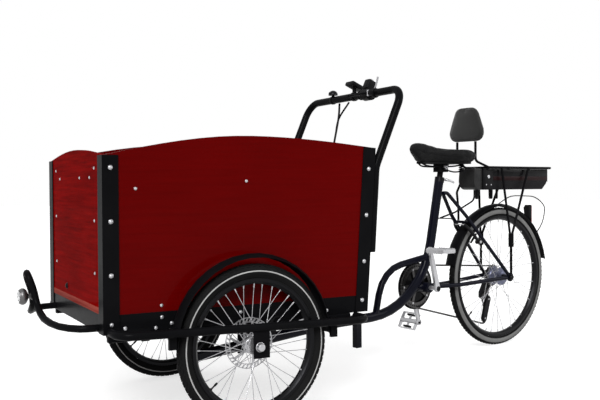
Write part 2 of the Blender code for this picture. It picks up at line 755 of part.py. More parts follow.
def outer_rails():
    for label, side in (("left", 1), ("right", -1)):
        y = side * RAIL_SIDE
        root = side * (PANEL_HALF + POST_WALL + 2 * SEAT)
        corners = [(RAIL_FRONT, root, RAIL_FRONT_HEIGHT), (RAIL_FRONT, y, RAIL_FRONT_HEIGHT),
                   (-RAIL_REAR, y, RAIL_REAR_HEIGHT), (-RAIL_REAR, root, RAIL_REAR_HEIGHT)]
        rail = tube("outer_rail_" + label, bent_path(corners, (RAIL_BEND, RAIL_BEND)),
                    RAIL_RADIUS, FRONT, "black_paint")
        hanger = block("outer_plate_" + label,
                       (-OUTER_PLATE_SHIFT - PLATE_WIDTH / 2, y - PLATE_WALL / 2,
                        FRONT_AXLE_HEIGHT - PLATE_DROP),
                       (-OUTER_PLATE_SHIFT + PLATE_WIDTH / 2, y + PLATE_WALL / 2, rail_height(0)),
                       FRONT, "black_paint")
        unite(rail, hanger)
        cut(rail, rod("outer_plate_hole_" + label, (0, y - PLATE_WALL, FRONT_AXLE_HEIGHT),
                      (0, y + PLATE_WALL, FRONT_AXLE_HEIGHT), AXLE_RADIUS + SEAT, FRONT,
                      "black_paint", 16))


def axle_profile(collars, plates):
    # Nut, shaft through the plate, collar up to the hub and shaft through it, then the same
    # again: collars and plates are (lower, upper) places along the axle
    collar = AXLE_NUT_RADIUS * 0.8
    low, high = plates
    return [(0, high + PLATE_WALL + AXLE_NUT_HEIGHT),
            (AXLE_NUT_RADIUS * 0.6, high + PLATE_WALL + AXLE_NUT_HEIGHT),
            (AXLE_NUT_RADIUS, high + PLATE_WALL + AXLE_NUT_HEIGHT / 2),
            (AXLE_NUT_RADIUS, high + PLATE_WALL + SEAT), (AXLE_RADIUS, high + PLATE_WALL + SEAT),
            (AXLE_RADIUS, high - SEAT), (collar, high - SEAT), (collar, collars[1]),
            (AXLE_RADIUS, collars[1]), (AXLE_RADIUS, collars[0]), (collar, collars[0]),
            (collar, low + SEAT), (AXLE_RADIUS, low + SEAT),
            (AXLE_RADIUS, low - PLATE_WALL - SEAT), (AXLE_NUT_RADIUS, low - PLATE_WALL - SEAT),
            (AXLE_NUT_RADIUS, low - PLATE_WALL - AXLE_NUT_HEIGHT / 2),
            (AXLE_NUT_RADIUS * 0.6, low - PLATE_WALL - AXLE_NUT_HEIGHT),
            (0, low - PLATE_WALL - AXLE_NUT_HEIGHT)]


def front_axles():
    for label, side in (("left", 1), ("right", -1)):
        outer = RAIL_OFFSET - PLATE_WALL / 2
        inner = -INNER_PLATE_REACH
        hub_outer = FRONT_FLANGE_SPREAD + FLANGE_WALL + HEAD_GAP
        hub_inner = -(ROTOR_OFFSET + ROTOR_WALL / 2 + HEAD_GAP)
        if side > 0:
            profile = axle_profile((hub_inner, hub_outer), (inner, outer))
        else:
            profile = axle_profile((-hub_outer, -hub_inner), (-outer, -inner))
        turned("front_axle_" + label, profile, 12, FRONT, "black_alloy",
                     (0, side * WHEEL_SIDE, FRONT_AXLE_HEIGHT))


# Mudguards
def arch(name, radius, start, end, carrier, place, finish_name="black_paint"):
    # A crowned strip swept about the wheel's axle, then given its wall
    half = FENDER_WIDTH / 2
    steps = 4
    form = bmesh.new()
    spots = []
    for tick in range(steps + 1):
        across = -half + FENDER_WIDTH * tick / steps
        spots.append(form.verts.new((radius - FENDER_CROWN * (across / half) ** 2, 0, across)))
    for one, two in zip(spots, spots[1:]):
        form.edges.new((one, two))
    mesh = bpy.data.meshes.new(name)
    form.to_mesh(mesh)
    form.free()
    item = add_object(name, mesh, carrier, finish_name, place, (math.pi / 2, -start, 0))
    screw = item.modifiers.new("sweep", "SCREW")
    screw.axis = "Z"
    screw.angle = end - start
    screw.steps = FENDER_STEPS
    screw.render_steps = FENDER_STEPS
    screw.use_smooth_shade = True
    wall = item.modifiers.new("wall", "SOLIDIFY")
    wall.thickness = FENDER_WALL
    wall.offset = 0
    return item


def front_fenders():
    radius = FRONT_FENDER_RADIUS
    foot = FRONT_AXLE_HEIGHT + FRONT_FENDER_LIFT
    for label, side in (("left", 1), ("right", -1)):
        item = arch("front_fender_" + label, radius, 0, math.pi, FRONT,
                    (0, side * WHEEL_SIDE, foot))
        tabs = []
        low, high = sorted((side * (WHEEL_SIDE + FENDER_WIDTH / 3),
                            side * (RAIL_SIDE - RAIL_RADIUS - SEAT)))
        for end, sign in (("front", 1), ("rear", -1)):
            near = sign * (radius - FENDER_CROWN / 2)
            far = sign * (radius + FENDER_TAB_REACH)
            level = rail_height(sign * radius)
            tabs.append(block("fender_tab_" + end + "_" + label,
                              (min(near, far), low, level - FENDER_TAB_DROP),
                              (max(near, far), high, level + RAIL_RADIUS), FRONT, "black_paint"))
        unite(item, *tabs)


# Bumper and headlight
def bumper():
    face = FRAME_HALF + SEAT
    reach = BUMPER_REACH
    rise = BUMPER_TOP - BUMPER_HEIGHT
    nose = BUMPER_NOSE
    half = [(0, 1.0, 0), (0.40, 0.97, 0), (0.76, 0.72, 0.01), (0.94, 0.37, 0.09)]
    knots = [(face + reach * along, BUMPER_ROOT * across, BUMPER_HEIGHT + rise * up)
             for along, across, up in half]
    knots += [(face + nose * 0.83, BUMPER_GAP * 1.6, BUMPER_HEIGHT + rise * 0.30),
              (face + nose * 0.88, BUMPER_GAP, BUMPER_HEIGHT + rise * 0.60),
              (face + nose * 0.96, BUMPER_GAP, BUMPER_HEIGHT + rise * 0.86),
              (face + nose, 0, BUMPER_TOP)]
    knots += [(x, -y, z) for x, y, z in reversed(knots[:-1])]
    loop = tube("bumper", smooth_path(knots, 2), BUMPER_RADIUS, FRONT, "black_paint", 2)
    middle = face + nose * 0.88
    bridge = block("bumper_bridge",
                   (middle - BUMPER_RADIUS / 2, -BUMPER_GAP, HEADLIGHT_HEIGHT - BUMPER_RADIUS),
                   (middle + BUMPER_RADIUS / 2, BUMPER_GAP, HEADLIGHT_HEIGHT + BUMPER_RADIUS),
                   FRONT, "black_paint")
    unite(loop, bridge)
    return middle + BUMPER_RADIUS / 2 + SEAT


def headlight(back):
    stem = HEADLIGHT_LENGTH / 4
    front = back + stem + HEADLIGHT_LENGTH
    profile = [(0, front), (HEADLIGHT_RADIUS * 0.86, front),
               (HEADLIGHT_RADIUS, front - HEADLIGHT_LENGTH * 0.08),
               (HEADLIGHT_RADIUS, front - HEADLIGHT_LENGTH * 0.45),
               (HEADLIGHT_RADIUS * 0.62, back + stem), (BUMPER_RADIUS * 0.7, back + stem),
               (BUMPER_RADIUS * 0.7, back), (0, back)]
    turned("headlight", profile, 20, FRONT, "black_plastic", (0, 0, HEADLIGHT_HEIGHT),
                 (0, math.pi / 2, 0))


# Handlebar and what is on it
def handlebar():
    # A push bar whose legs stand against the rear posts and lean back above them
    side = BAR_HALF_WIDTH
    stand_off = (BAR_RADIUS * BAR_FLAT_SHARE + 2 * SEAT) / math.cos(BOX_REAR_LEAN)
    foot = -BOX_HALF - (BAR_FOOT - POST_FOOT) * BACK_SLOPE - stand_off
    knee = -BOX_HALF - (BAR_KNEE - POST_FOOT) * BACK_SLOPE - stand_off
    corners = [(foot, side, BAR_FOOT), (knee, side, BAR_KNEE),
               (-BAR_TOP_BACK, side, BAR_TOP), (-BAR_TOP_BACK, -side, BAR_TOP),
               (knee, -side, BAR_KNEE), (foot, -side, BAR_FOOT)]
    bends = (BAR_KNEE_BEND, BAR_CORNER_BEND, BAR_CORNER_BEND, BAR_KNEE_BEND)
    tube("handlebar", bent_path(corners, bends, math.radians(18)), BAR_RADIUS, FRONT,
         "black_paint")


def clamp_ring(name, y, width, finish_name, wall=CLAMP_WALL):
    gap = BAR_RADIUS + SEAT
    return turned(name, [(gap + wall, width / 2), (gap + wall, -width / 2),
                         (gap, -width / 2), (gap, width / 2)], 20, FRONT, finish_name,
                  (-BAR_TOP_BACK, y, BAR_TOP))


def controls():
    ring = BAR_RADIUS + SEAT + CLAMP_WALL / 2
    x = -BAR_TOP_BACK
    bell = clamp_ring("bell", -BELL_SIDE, BELL_RADIUS / 2, "silver_metal")
    unite(bell, rod("bell_dome", (x, -BELL_SIDE, BAR_TOP + ring),
                    (x, -BELL_SIDE, BAR_TOP + ring + BELL_RADIUS), BELL_RADIUS,
                    FRONT, "silver_metal", 16, tip=BELL_RADIUS * 0.4))
    display = clamp_ring("display_unit", DISPLAY_SIDE, BAR_RADIUS, "black_plastic")
    half = DISPLAY_LENGTH / 2
    stem = rod("display_stem", (x, DISPLAY_SIDE, BAR_TOP + ring),
               (x, DISPLAY_SIDE, BAR_TOP + ring + DISPLAY_THICKNESS), BAR_RADIUS * 0.5, FRONT,
               "black_plastic")
    case = block("display_case", (-half, -half * 0.9, 0), (half, half * 0.9, DISPLAY_THICKNESS), FRONT,
                 "black_plastic", (x, DISPLAY_SIDE, BAR_TOP + ring + DISPLAY_THICKNESS * 0.8),
                 (0, -DISPLAY_TILT, 0))
    unite(display, stem, case)
    lever = clamp_ring("brake_lever", LEVER_SIDE, LEVER_LENGTH, "black_plastic")
    housing = clamp_ring("shift_housing", LEVER_SIDE, LEVER_LENGTH * 0.4, "black_plastic",
                         HOUSING_RADIUS - BAR_RADIUS)
    reach = x + BAR_RADIUS * 3
    near = LEVER_SIDE + LEVER_LENGTH * 0.4
    blade = tube("brake_blade", bent_path(
        [(x + ring, near, BAR_TOP), (reach, near, BAR_TOP), (reach, near - LEVER_LENGTH, BAR_TOP)],
        (BAR_RADIUS,), math.radians(30)), CLAMP_WALL * 1.4, FRONT, "black_plastic", 2)
    stalk = rod("shift_stalk", (x, near, BAR_TOP + ring), (x, near + BELL_RADIUS, BAR_TOP + ring * 3),
                CLAMP_WALL, FRONT, "black_plastic", 8)
    cover = block("shift_cover", (-HOUSING_RADIUS * 0.8, -LEVER_LENGTH * 0.17, 0),
                  (HOUSING_RADIUS * 0.9, LEVER_LENGTH * 0.17, HOUSING_RADIUS * 1.7), FRONT,
                  "black_plastic", (x, LEVER_SIDE, BAR_TOP + ring), (0, -DISPLAY_TILT, 0))
    softened(cover, HOUSING_RADIUS * 0.3)
    unite(lever, housing, blade, stalk, cover)


def brake_cables():
    # Two casings from the bar join and hang to the sill behind the rear panel
    stand_off = (LEAD_RADIUS + SEAT) / math.cos(BOX_REAR_LEAN)
    low_turn = BOX_FOOT + (CABLE_HANG - BOX_FOOT) / 6
    low_back = back_edge(low_turn) - 2 * LEAD_RADIUS
    top = BAR_TOP - BAR_RADIUS - LEAD_RADIUS
    back = CABLE_HANG_BACK
    fork = (-(BAR_TOP_BACK + back) / 2, -CABLE_SIDE, CABLE_FORK)
    sill_run = [(-back, -CABLE_SIDE, CABLE_HANG),
                ((low_back - back) / 2, -CABLE_SIDE, (CABLE_HANG + BOX_FOOT) / 2),
                (low_back, -CABLE_SIDE, low_turn),
                (back_edge(BOX_FOOT) - stand_off * 1.5, -CABLE_SIDE, BOX_FOOT)]
    main = tube("brake_cables",
                smooth_path([(-BAR_TOP_BACK, -CABLE_SIDE - CABLE_SPREAD, top), fork] + sill_run, 8),
                LEAD_RADIUS, FRONT, "black_plastic", 2)
    branch = tube("cable_branch",
                  smooth_path([(-BAR_TOP_BACK, -CABLE_SIDE + CABLE_SPREAD, top),
                               (fork[0], -CABLE_SIDE + LEAD_RADIUS / 2, CABLE_FORK),
                               ((fork[0] - back) / 2, -CABLE_SIDE, (CABLE_FORK + CABLE_HANG) / 2)], 6),
                  LEAD_RADIUS * 0.9, FRONT, "black_plastic", 2)
    unite(main, branch)


# Rear frame
def rear_frame():
    corner_height = MAIN_LOW + (MAIN_LOW - MAIN_RISE) / 2
    corners = [(0, 0, MAIN_START), (-MAIN_RISE_BACK, 0, MAIN_RISE),
               (-seat_line(corner_height), 0, corner_height),
               (-seat_line(SEAT_TUBE_TOP), 0, SEAT_TUBE_TOP)]
    main = tube("frame", bent_path(corners, (MAIN_BEND * 2, MAIN_BEND), math.radians(9)),
                MAIN_RADIUS * MAIN_SLIM_SHARE, GROUND, "navy_paint", 4)
    head = rod("head_tube", (0, 0, HEAD_FOOT), (0, 0, HEAD_TOP), HEAD_RADIUS, GROUND,
               "navy_paint", 24)
    loop_end = seat_line(LOOP_JOINT)
    loop_height = LOOP_JOINT - LOOP_RADIUS * 3
    loop = tube("loop_tube", bent_path(
        [(-LOOP_START_BACK, 0, MAIN_LOW), (-LOOP_START_BACK - LOOP_RADIUS * 3, 0, loop_height),
         (-loop_end, 0, LOOP_JOINT)], (LOOP_BEND,)), LOOP_RADIUS, GROUND, "navy_paint")
    shell = rod("crank_shell", (-CRANK_BACK, -SHELL_WIDTH / 2, CRANK_AXIS_HEIGHT),
                (-CRANK_BACK, SHELL_WIDTH / 2, CRANK_AXIS_HEIGHT), SHELL_RADIUS, GROUND,
                "navy_paint", 24)
    lug = rod("shell_lug", (-CRANK_BACK, 0, CRANK_AXIS_HEIGHT),
              (-CRANK_BACK + SHELL_RADIUS * 2.4, 0, CRANK_AXIS_HEIGHT), SHELL_RADIUS * 0.75, GROUND,
              "navy_paint", 16)
    foot = block("support_foot", (-FOOT_BACK - FOOT_SIZE / 2, -FOOT_SIZE / 2, FOOT_TIP),
                 (-FOOT_BACK + FOOT_SIZE / 2, FOOT_SIZE / 2, MAIN_LOW), GROUND, "navy_paint")
    unite(main, head, loop, shell, lug, foot)
    cut(main, rod("head_bore", (0, 0, HEAD_FOOT - OVERRUN), (0, 0, HEAD_TOP + OVERRUN),
                  KINGPIN_RADIUS + HEAD_GAP, GROUND, "navy_paint", 20),
        rod("shell_bore", (-CRANK_BACK, -SHELL_WIDTH, CRANK_AXIS_HEIGHT),
            (-CRANK_BACK, SHELL_WIDTH, CRANK_AXIS_HEIGHT), SPINDLE_RADIUS + HEAD_GAP, GROUND,
            "navy_paint", 16))
    bore_low = SEAT_TUBE_TOP - POST_RADIUS * 5
    cut(main, rod("post_bore", (-seat_line(bore_low), 0, bore_low),
                  (-seat_line(SEAT_TUBE_TOP + OVERRUN), 0, SEAT_TUBE_TOP + OVERRUN),
                  POST_RADIUS + SEAT, GROUND, "navy_paint", 16))


def seat_stay_corners(side):
    top = seat_tube_back(SEATSTAY_TOP, SEATSTAY_RADIUS)
    reach = REAR_AXLE_BACK - top
    drop = SEATSTAY_TOP - REAR_AXLE_HEIGHT
    wide = REAR_TYRE_WIDTH / 2 + STAY_CLEARANCE + STAY_RADIUS
    return [(-top, side * SEATSTAY_RADIUS * 1.7, SEATSTAY_TOP),
            (-top - SEATSTAY_RADIUS * 3, side * SEATSTAY_RADIUS * 1.7, SEATSTAY_TOP),
            (-top - reach * 0.30, side * wide, SEATSTAY_TOP - drop * 0.26),
            (-REAR_AXLE_BACK, side * DROPOUT_SIDE, REAR_AXLE_HEIGHT)]


def stay_bridge():
    # Where the bridge between the seat stays passes over the mudguard: (x, z, half span)
    high, low = seat_stay_corners(1)[2:]
    reach = REAR_FENDER_RADIUS + FENDER_WALL / 2 + FENDER_CLIP + FENDER_BRIDGE_RADIUS
    share = reach / math.hypot(high[0] - low[0], high[2] - low[2])
    return tuple(end + (start - end) * share for start, end in
                 ((high[0], low[0]), (high[2], low[2]), (high[1], low[1])))


def rear_stays():
    tools = []
    base = None
    tyre_front = REAR_AXLE_BACK - REAR_TYRE_RADIUS
    for label, side in (("left", 1), ("right", -1)):
        start = CRANK_BACK + SHELL_RADIUS + 2 * SEAT
        wide = REAR_TYRE_WIDTH / 2 + STAY_CLEARANCE + STAY_RADIUS
        chain_corners = [(-start, side * STAY_ROOT_SIDE, CRANK_AXIS_HEIGHT),
                         (-start - STAY_RADIUS * 3, side * STAY_ROOT_SIDE, CRANK_AXIS_HEIGHT),
                         (-tyre_front - STAY_RADIUS * 2, side * wide, CRANK_AXIS_HEIGHT),
                         (-REAR_AXLE_BACK, side * DROPOUT_SIDE, REAR_AXLE_HEIGHT)]
        chain_stay = tube("chain_stay_" + label,
                          bent_path(chain_corners, (STAY_RADIUS * 3, STAY_RADIUS * 5)),
                          STAY_RADIUS, GROUND, "navy_paint")
        seat_stay = tube("seat_stay_" + label,
                         bent_path(seat_stay_corners(side),
                                   (SEATSTAY_RADIUS * 2, SEATSTAY_RADIUS * 5)),
                         SEATSTAY_RADIUS, GROUND, "navy_paint", 2)
        dropout = rod("dropout_" + label,
                      (-REAR_AXLE_BACK, side * (DROPOUT_SIDE - PLATE_WALL), REAR_AXLE_HEIGHT),
                      (-REAR_AXLE_BACK, side * (DROPOUT_SIDE + PLATE_WALL), REAR_AXLE_HEIGHT),
                      DROPOUT_RADIUS, GROUND, "navy_paint", 20)
        tools += [chain_stay, seat_stay, dropout]
        for face, sign in (("inner", -1), ("outer", 1)):
            near = side * (DROPOUT_SIDE + sign * PLATE_WALL / 2)
            far = side * (DROPOUT_SIDE + sign * DROPOUT_RADIUS)
            tools.append(rod(face + "_relief_" + label, (-REAR_AXLE_BACK, near, REAR_AXLE_HEIGHT),
                             (-REAR_AXLE_BACK, far, REAR_AXLE_HEIGHT), DROPOUT_RADIUS * 1.25,
                             GROUND, "navy_paint", 20))
    bridge_back = tyre_front - STAY_RADIUS * 3
    bridge = rod("rear_stays", (-bridge_back, -STAY_ROOT_SIDE * 1.2, CRANK_AXIS_HEIGHT),
                 (-bridge_back, STAY_ROOT_SIDE * 1.2, CRANK_AXIS_HEIGHT), STAY_RADIUS * 0.8, GROUND,
                 "navy_paint")
    x, z, half = stay_bridge()
    fender_bridge = rod("fender_bridge", (x, -half, z), (x, half, z), FENDER_BRIDGE_RADIUS, GROUND,
                        "navy_paint")
    left, right = tools[:5], tools[5:]
    unite(bridge, *(left[:3] + right[:3]), fender_bridge)
    cut(bridge, left[3], left[4], right[3], right[4])
    cut(bridge, rod("dropout_hole", (-REAR_AXLE_BACK, -DROPOUT_SIDE * 2, REAR_AXLE_HEIGHT),
                    (-REAR_AXLE_BACK, DROPOUT_SIDE * 2, REAR_AXLE_HEIGHT), AXLE_RADIUS + SEAT,
                    GROUND, "navy_paint", 16))


def rear_axle():
    face = DROPOUT_SIDE - PLATE_WALL / 2
    cassette_end = CASSETTE_START + SPROCKET_COUNT * SPROCKET_PITCH + HEAD_GAP
    hub_end = REAR_FLANGE_SPREAD + FLANGE_WALL + HEAD_GAP
    turned("rear_axle", axle_profile((-cassette_end, hub_end), (-face, face)), 12,
                 GROUND, "black_alloy", (-REAR_AXLE_BACK, 0, REAR_AXLE_HEIGHT))


def cassette():
    # Sprockets from the largest, next to the spokes, to the smallest, with spacers between
    bore = AXLE_RADIUS + AXLE_BORE_GAP
    core = SPROCKET_LARGE - SPROCKET_COUNT * SPROCKET_STEP
    profile = [(bore, -CASSETTE_START)]
    for index in range(SPROCKET_COUNT):
        near = -CASSETTE_START - index * SPROCKET_PITCH
        radius = SPROCKET_LARGE - index * SPROCKET_STEP
        profile += [(radius, near), (radius, near - SPROCKET_WALL), (core, near - SPROCKET_WALL)]
        if index < SPROCKET_COUNT - 1:
            profile.append((core, near - SPROCKET_PITCH))
    profile.append((bore, profile[-1][1]))
    turned("cassette", profile, 20, GROUND, "chain_steel",
           (-REAR_AXLE_BACK, 0, REAR_AXLE_HEIGHT))


# Crank, pedals and chain
def crank_end(side):
    reach = side * CRANK_LENGTH
    return (-CRANK_BACK + reach * math.sin(CRANK_LEAD),
            CRANK_AXIS_HEIGHT + reach * math.cos(CRANK_LEAD))


def crankset():
    centre = (-CRANK_BACK, 0, CRANK_AXIS_HEIGHT)
    spindle = rod("crankset", (0, -CRANK_SIDE, 0), (0, CRANK_SIDE, 0), SPINDLE_RADIUS, GROUND,
                  "silver_metal", 16, centre)
    arms = []
    for label, side in (("left", 1), ("right", -1)):
        x, z = crank_end(side)
        half = CRANK_WIDTH / 2
        lean = -math.atan2(x - centre[0], z - centre[2])
        tip = CRANK_LENGTH
        slim = half * 0.75
        outline = (arc((0, 0), half, math.pi, 2 * math.pi, 8)
                   + arc((0, tip), slim, 0, math.pi, 8))
        arm = plate("crank_arm_" + label, [outline], CRANK_WALL, GROUND, "silver_metal",
                    (centre[0], side * CRANK_SIDE, centre[2]), (math.pi / 2, -lean, 0))
        arms.append(arm)
    unite(spindle, *arms)
    for label, side in (("left", 1), ("right", -1)):
        x, z = crank_end(side)
        cut(spindle, rod("pedal_hole_" + label, (x, side * (CRANK_SIDE - CRANK_WALL), z),
                         (x, side * (CRANK_SIDE + CRANK_WALL), z), PEDAL_PIN_RADIUS + HEAD_GAP,
                         GROUND, "silver_metal", 16))


def chainring():
    bore = SPINDLE_RADIUS + SEAT
    ring_out = CHAIN_LINE + CHAINRING_WALL / 2
    ring_in = CHAIN_LINE - CHAINRING_WALL / 2
    core = CHAINRING_RADIUS * 0.55
    guard_end = GUARD_SIDE + GUARD_WALL
    profile = [(bore, -ring_in), (CHAINRING_RADIUS, -ring_in), (CHAINRING_RADIUS, -ring_out),
               (core, -ring_out), (core, -GUARD_SIDE), (GUARD_RADIUS, -GUARD_SIDE),
               (GUARD_RADIUS, -guard_end), (bore, -guard_end)]
    turned("chainring_and_guard", profile, 32, GROUND, "black_plastic",
           (-CRANK_BACK, 0, CRANK_AXIS_HEIGHT))


def pedals():
    for label, side, tilt in (("left", 1, 0), ("right", -1, LOWER_PEDAL_TILT)):
        x, z = crank_end(side)
        inner = CRANK_SIDE + CRANK_WALL / 2 + HEAD_GAP * 3
        place = (x, side * CRANK_SIDE, z)
        start = side * (inner - CRANK_SIDE)
        end = start + side * PEDAL_LENGTH
        low, high = sorted((start, end))
        body = block("pedal_" + label, (-PEDAL_WIDTH / 2, low, -PEDAL_HEIGHT / 2),
                     (PEDAL_WIDTH / 2, high, PEDAL_HEIGHT / 2), GROUND, "silver_metal", place,
                     (0, tilt, 0))
        hole = block("pedal_window_" + label,
                     (-PEDAL_WIDTH / 2 + PEDAL_WALL / 2, low + PEDAL_WALL, -PEDAL_HEIGHT),
                     (PEDAL_WIDTH / 2 - PEDAL_WALL / 2, high - PEDAL_WALL, PEDAL_HEIGHT), GROUND,
                     "silver_metal", place, (0, tilt, 0))
        cut(body, hole)
        core = rod("pedal_core_" + label, (0, low + PEDAL_WALL / 2, 0),
                   (0, high - PEDAL_WALL / 2, 0), PEDAL_CORE_RADIUS, GROUND, "silver_metal", 16,
                   place)
        pin = rod("pedal_pin_" + label, (0, -side * CRANK_WALL / 2, 0),
                  (0, start + side * PEDAL_WALL / 2, 0), PEDAL_PIN_RADIUS, GROUND, "silver_metal",
                  16, place)
        unite(body, core, pin)


def belt(circles, grow, step=math.radians(15)):
    # The outline of a belt round circles (x, z, radius, sense), grown outwards
    normals = []
    signed = [sense * radius + grow for _, _, radius, sense in circles]
    count = len(circles)
    for index in range(count):
        ahead = (index + 1) % count
        run = Vector((circles[ahead][0] - circles[index][0], circles[ahead][1] - circles[index][1]))
        along = (signed[index] - signed[ahead]) / run.length
        run.normalize()
        left = Vector((-run.y, run.x))
        normals.append(run * along - left * math.sqrt(1 - along ** 2))
    points = []
    for index in range(count):
        sense = circles[index][3]
        arrive = math.atan2(normals[index - 1].y, normals[index - 1].x)
        leave = math.atan2(normals[index].y, normals[index].x)
        sweep = (sense * (leave - arrive)) % (2 * math.pi)
        ticks = max(2, math.ceil(sweep / step))
        for tick in range(ticks + 1):
            angle = arrive + sense * sweep * tick / ticks
            points.append((circles[index][0] + signed[index] * math.cos(angle),
                           circles[index][1] + signed[index] * math.sin(angle)))
    return points


def chain_circles():
    lift = CHAIN_CLEARANCE + CHAIN_HEIGHT / 2
    upper = (-REAR_AXLE_BACK + CAGE_UPPER_DROP * 0.35, REAR_AXLE_HEIGHT - CAGE_UPPER_DROP * 1.45)
    lower = (-REAR_AXLE_BACK + CAGE_DROP * 0.40, REAR_AXLE_HEIGHT - CAGE_DROP * 1.50)
    return [(-CRANK_BACK, CRANK_AXIS_HEIGHT, CHAINRING_RADIUS + lift, 1),
            (-REAR_AXLE_BACK, REAR_AXLE_HEIGHT, CHAIN_SPROCKET_RADIUS + lift, 1),
            (*upper, PULLEY_RADIUS + lift, -1), (*lower, PULLEY_RADIUS + lift, 1)]


def chain():
    circles = chain_circles()
    half = CHAIN_HEIGHT / 2
    plate("chain", [belt(circles, half), belt(circles, -half)], CHAIN_WIDTH, GROUND,
          "chain_steel", (0, -CHAIN_LINE, 0), SIDE_TURN)


def derailleur():
    upper, lower = chain_circles()[2:]
    cage_y = -(CHAIN_LINE + CHAIN_WIDTH / 2 + HEAD_GAP)
    outer_y = cage_y - GUARD_WALL
    cage = plate("derailleur", [arc(upper[:2], PULLEY_RADIUS * 0.7, 0, math.pi, 8)
                                + arc(lower[:2], PULLEY_RADIUS * 0.7, math.pi, 2 * math.pi, 8)],
                 GUARD_WALL, GROUND, "black_alloy", (0, (cage_y + outer_y) / 2, 0), SIDE_TURN)
    tools = []
    for label, (x, z, _, _) in (("upper", upper), ("lower", lower)):
        tools.append(rod("pulley_" + label, (x, -CHAIN_LINE + CHAINRING_WALL / 2, z),
                         (x, outer_y + GUARD_WALL / 2, z), PULLEY_RADIUS, GROUND, "black_alloy", 20))
    hanger = (-REAR_AXLE_BACK, -DROPOUT_SIDE, REAR_AXLE_HEIGHT - DROPOUT_RADIUS - STAY_RADIUS)
    tools.append(rod("derailleur_arm", (upper[0], outer_y + GUARD_WALL / 2, upper[1]),
                     (hanger[0], hanger[1], hanger[2]), STAY_RADIUS, GROUND, "black_alloy", 12))
    unite(cage, *tools)


# Seat, backrest, rack and electrics
def seat_post():
    low = SEAT_TUBE_TOP - POST_RADIUS * 5 + SEAT
    post = rod("seat_post", (-seat_line(low), 0, low),
               (-seat_line(CLAMP_HEIGHT), 0, CLAMP_HEIGHT), POST_RADIUS, GROUND, "black_paint", 16)
    head = seat_line(CLAMP_HEIGHT)
    clamp = block("saddle_clamp",
                  (-head - POST_RADIUS * 2, -POST_RADIUS * 1.6, CLAMP_HEIGHT - POST_RADIUS),
                  (-head + POST_RADIUS * 2, POST_RADIUS * 1.6, SADDLE_FOOT - SEAT), GROUND,
                  "black_paint")
    unite(post, clamp)


def saddle():
    # The outline seen from above, cut to the outline seen from the side
    nose = SADDLE_NOSE_WIDTH / 2
    half = SADDLE_WIDTH / 2
    front = -SADDLE_NOSE_BACK
    rear = front - SADDLE_LENGTH
    round_rear = half * 0.50
    flank_shares = ((0.30, 0.30), (0.42, 0.42), (0.54, 0.70), (0.66, 0.93))
    flank = [(front - SADDLE_LENGTH * along, half * across) for along, across in flank_shares]
    corner = arc((rear + round_rear, half - round_rear), round_rear, math.pi / 2, math.pi, 6)
    upper = arc((front - nose, 0), nose, 0, math.pi / 2, 5) + flank + corner
    outline = upper + [(x, -y) for x, y in reversed(upper)]
    cover = plate("saddle", [outline[1:]], SADDLE_HEIGHT + 2 * OVERRUN, GROUND, "saddle_cover",
                  (0, 0, SADDLE_TOP - SADDLE_HEIGHT / 2))
    side_shares = ((-0.02, 0.55), (-0.02, 0.72), (0.02, 0.90), (0.06, 0.98), (0.12, 1.00), (0.20, 0.97),
                   (0.32, 0.86), (0.45, 0.75), (0.60, 0.69), (0.80, 0.68), (0.94, 0.70), (0.99, 0.66),
                   (1.02, 0.56), (1.02, 0.12), (0.97, 0.04), (0.92, 0), (0.20, 0), (0.13, 0.08),
                   (0.08, 0.36))
    side = [(front - SADDLE_LENGTH * along, SADDLE_FOOT + SADDLE_HEIGHT * up)
            for along, up in side_shares]
    combine(cover, [plate("saddle_side", [side], SADDLE_WIDTH + 2 * OVERRUN, GROUND, "saddle_cover",
                          (0, 0, 0), SIDE_TURN)], "INTERSECT")


def backrest():
    top = BACKREST_TOP_WIDTH / 2
    low = BACKREST_WIDTH / 2
    bend = BACKREST_HEIGHT * 0.26
    height = BACKREST_HEIGHT
    lean = math.atan2(low - top, height - 2 * bend)
    right = (arc((low - bend, bend), bend, -math.pi / 2, lean, 6)
             + arc((top - bend * 0.7, height - bend * 0.8), bend * 0.8, lean, math.pi / 2, 5))
    outline = right + [(-x, y) for x, y in reversed(right)]
    plate("backrest_pad", [outline], BACKREST_THICKNESS, GROUND, "saddle_cover",
          (-BACKREST_BACK, 0, BACKREST_LOW), END_TURN)


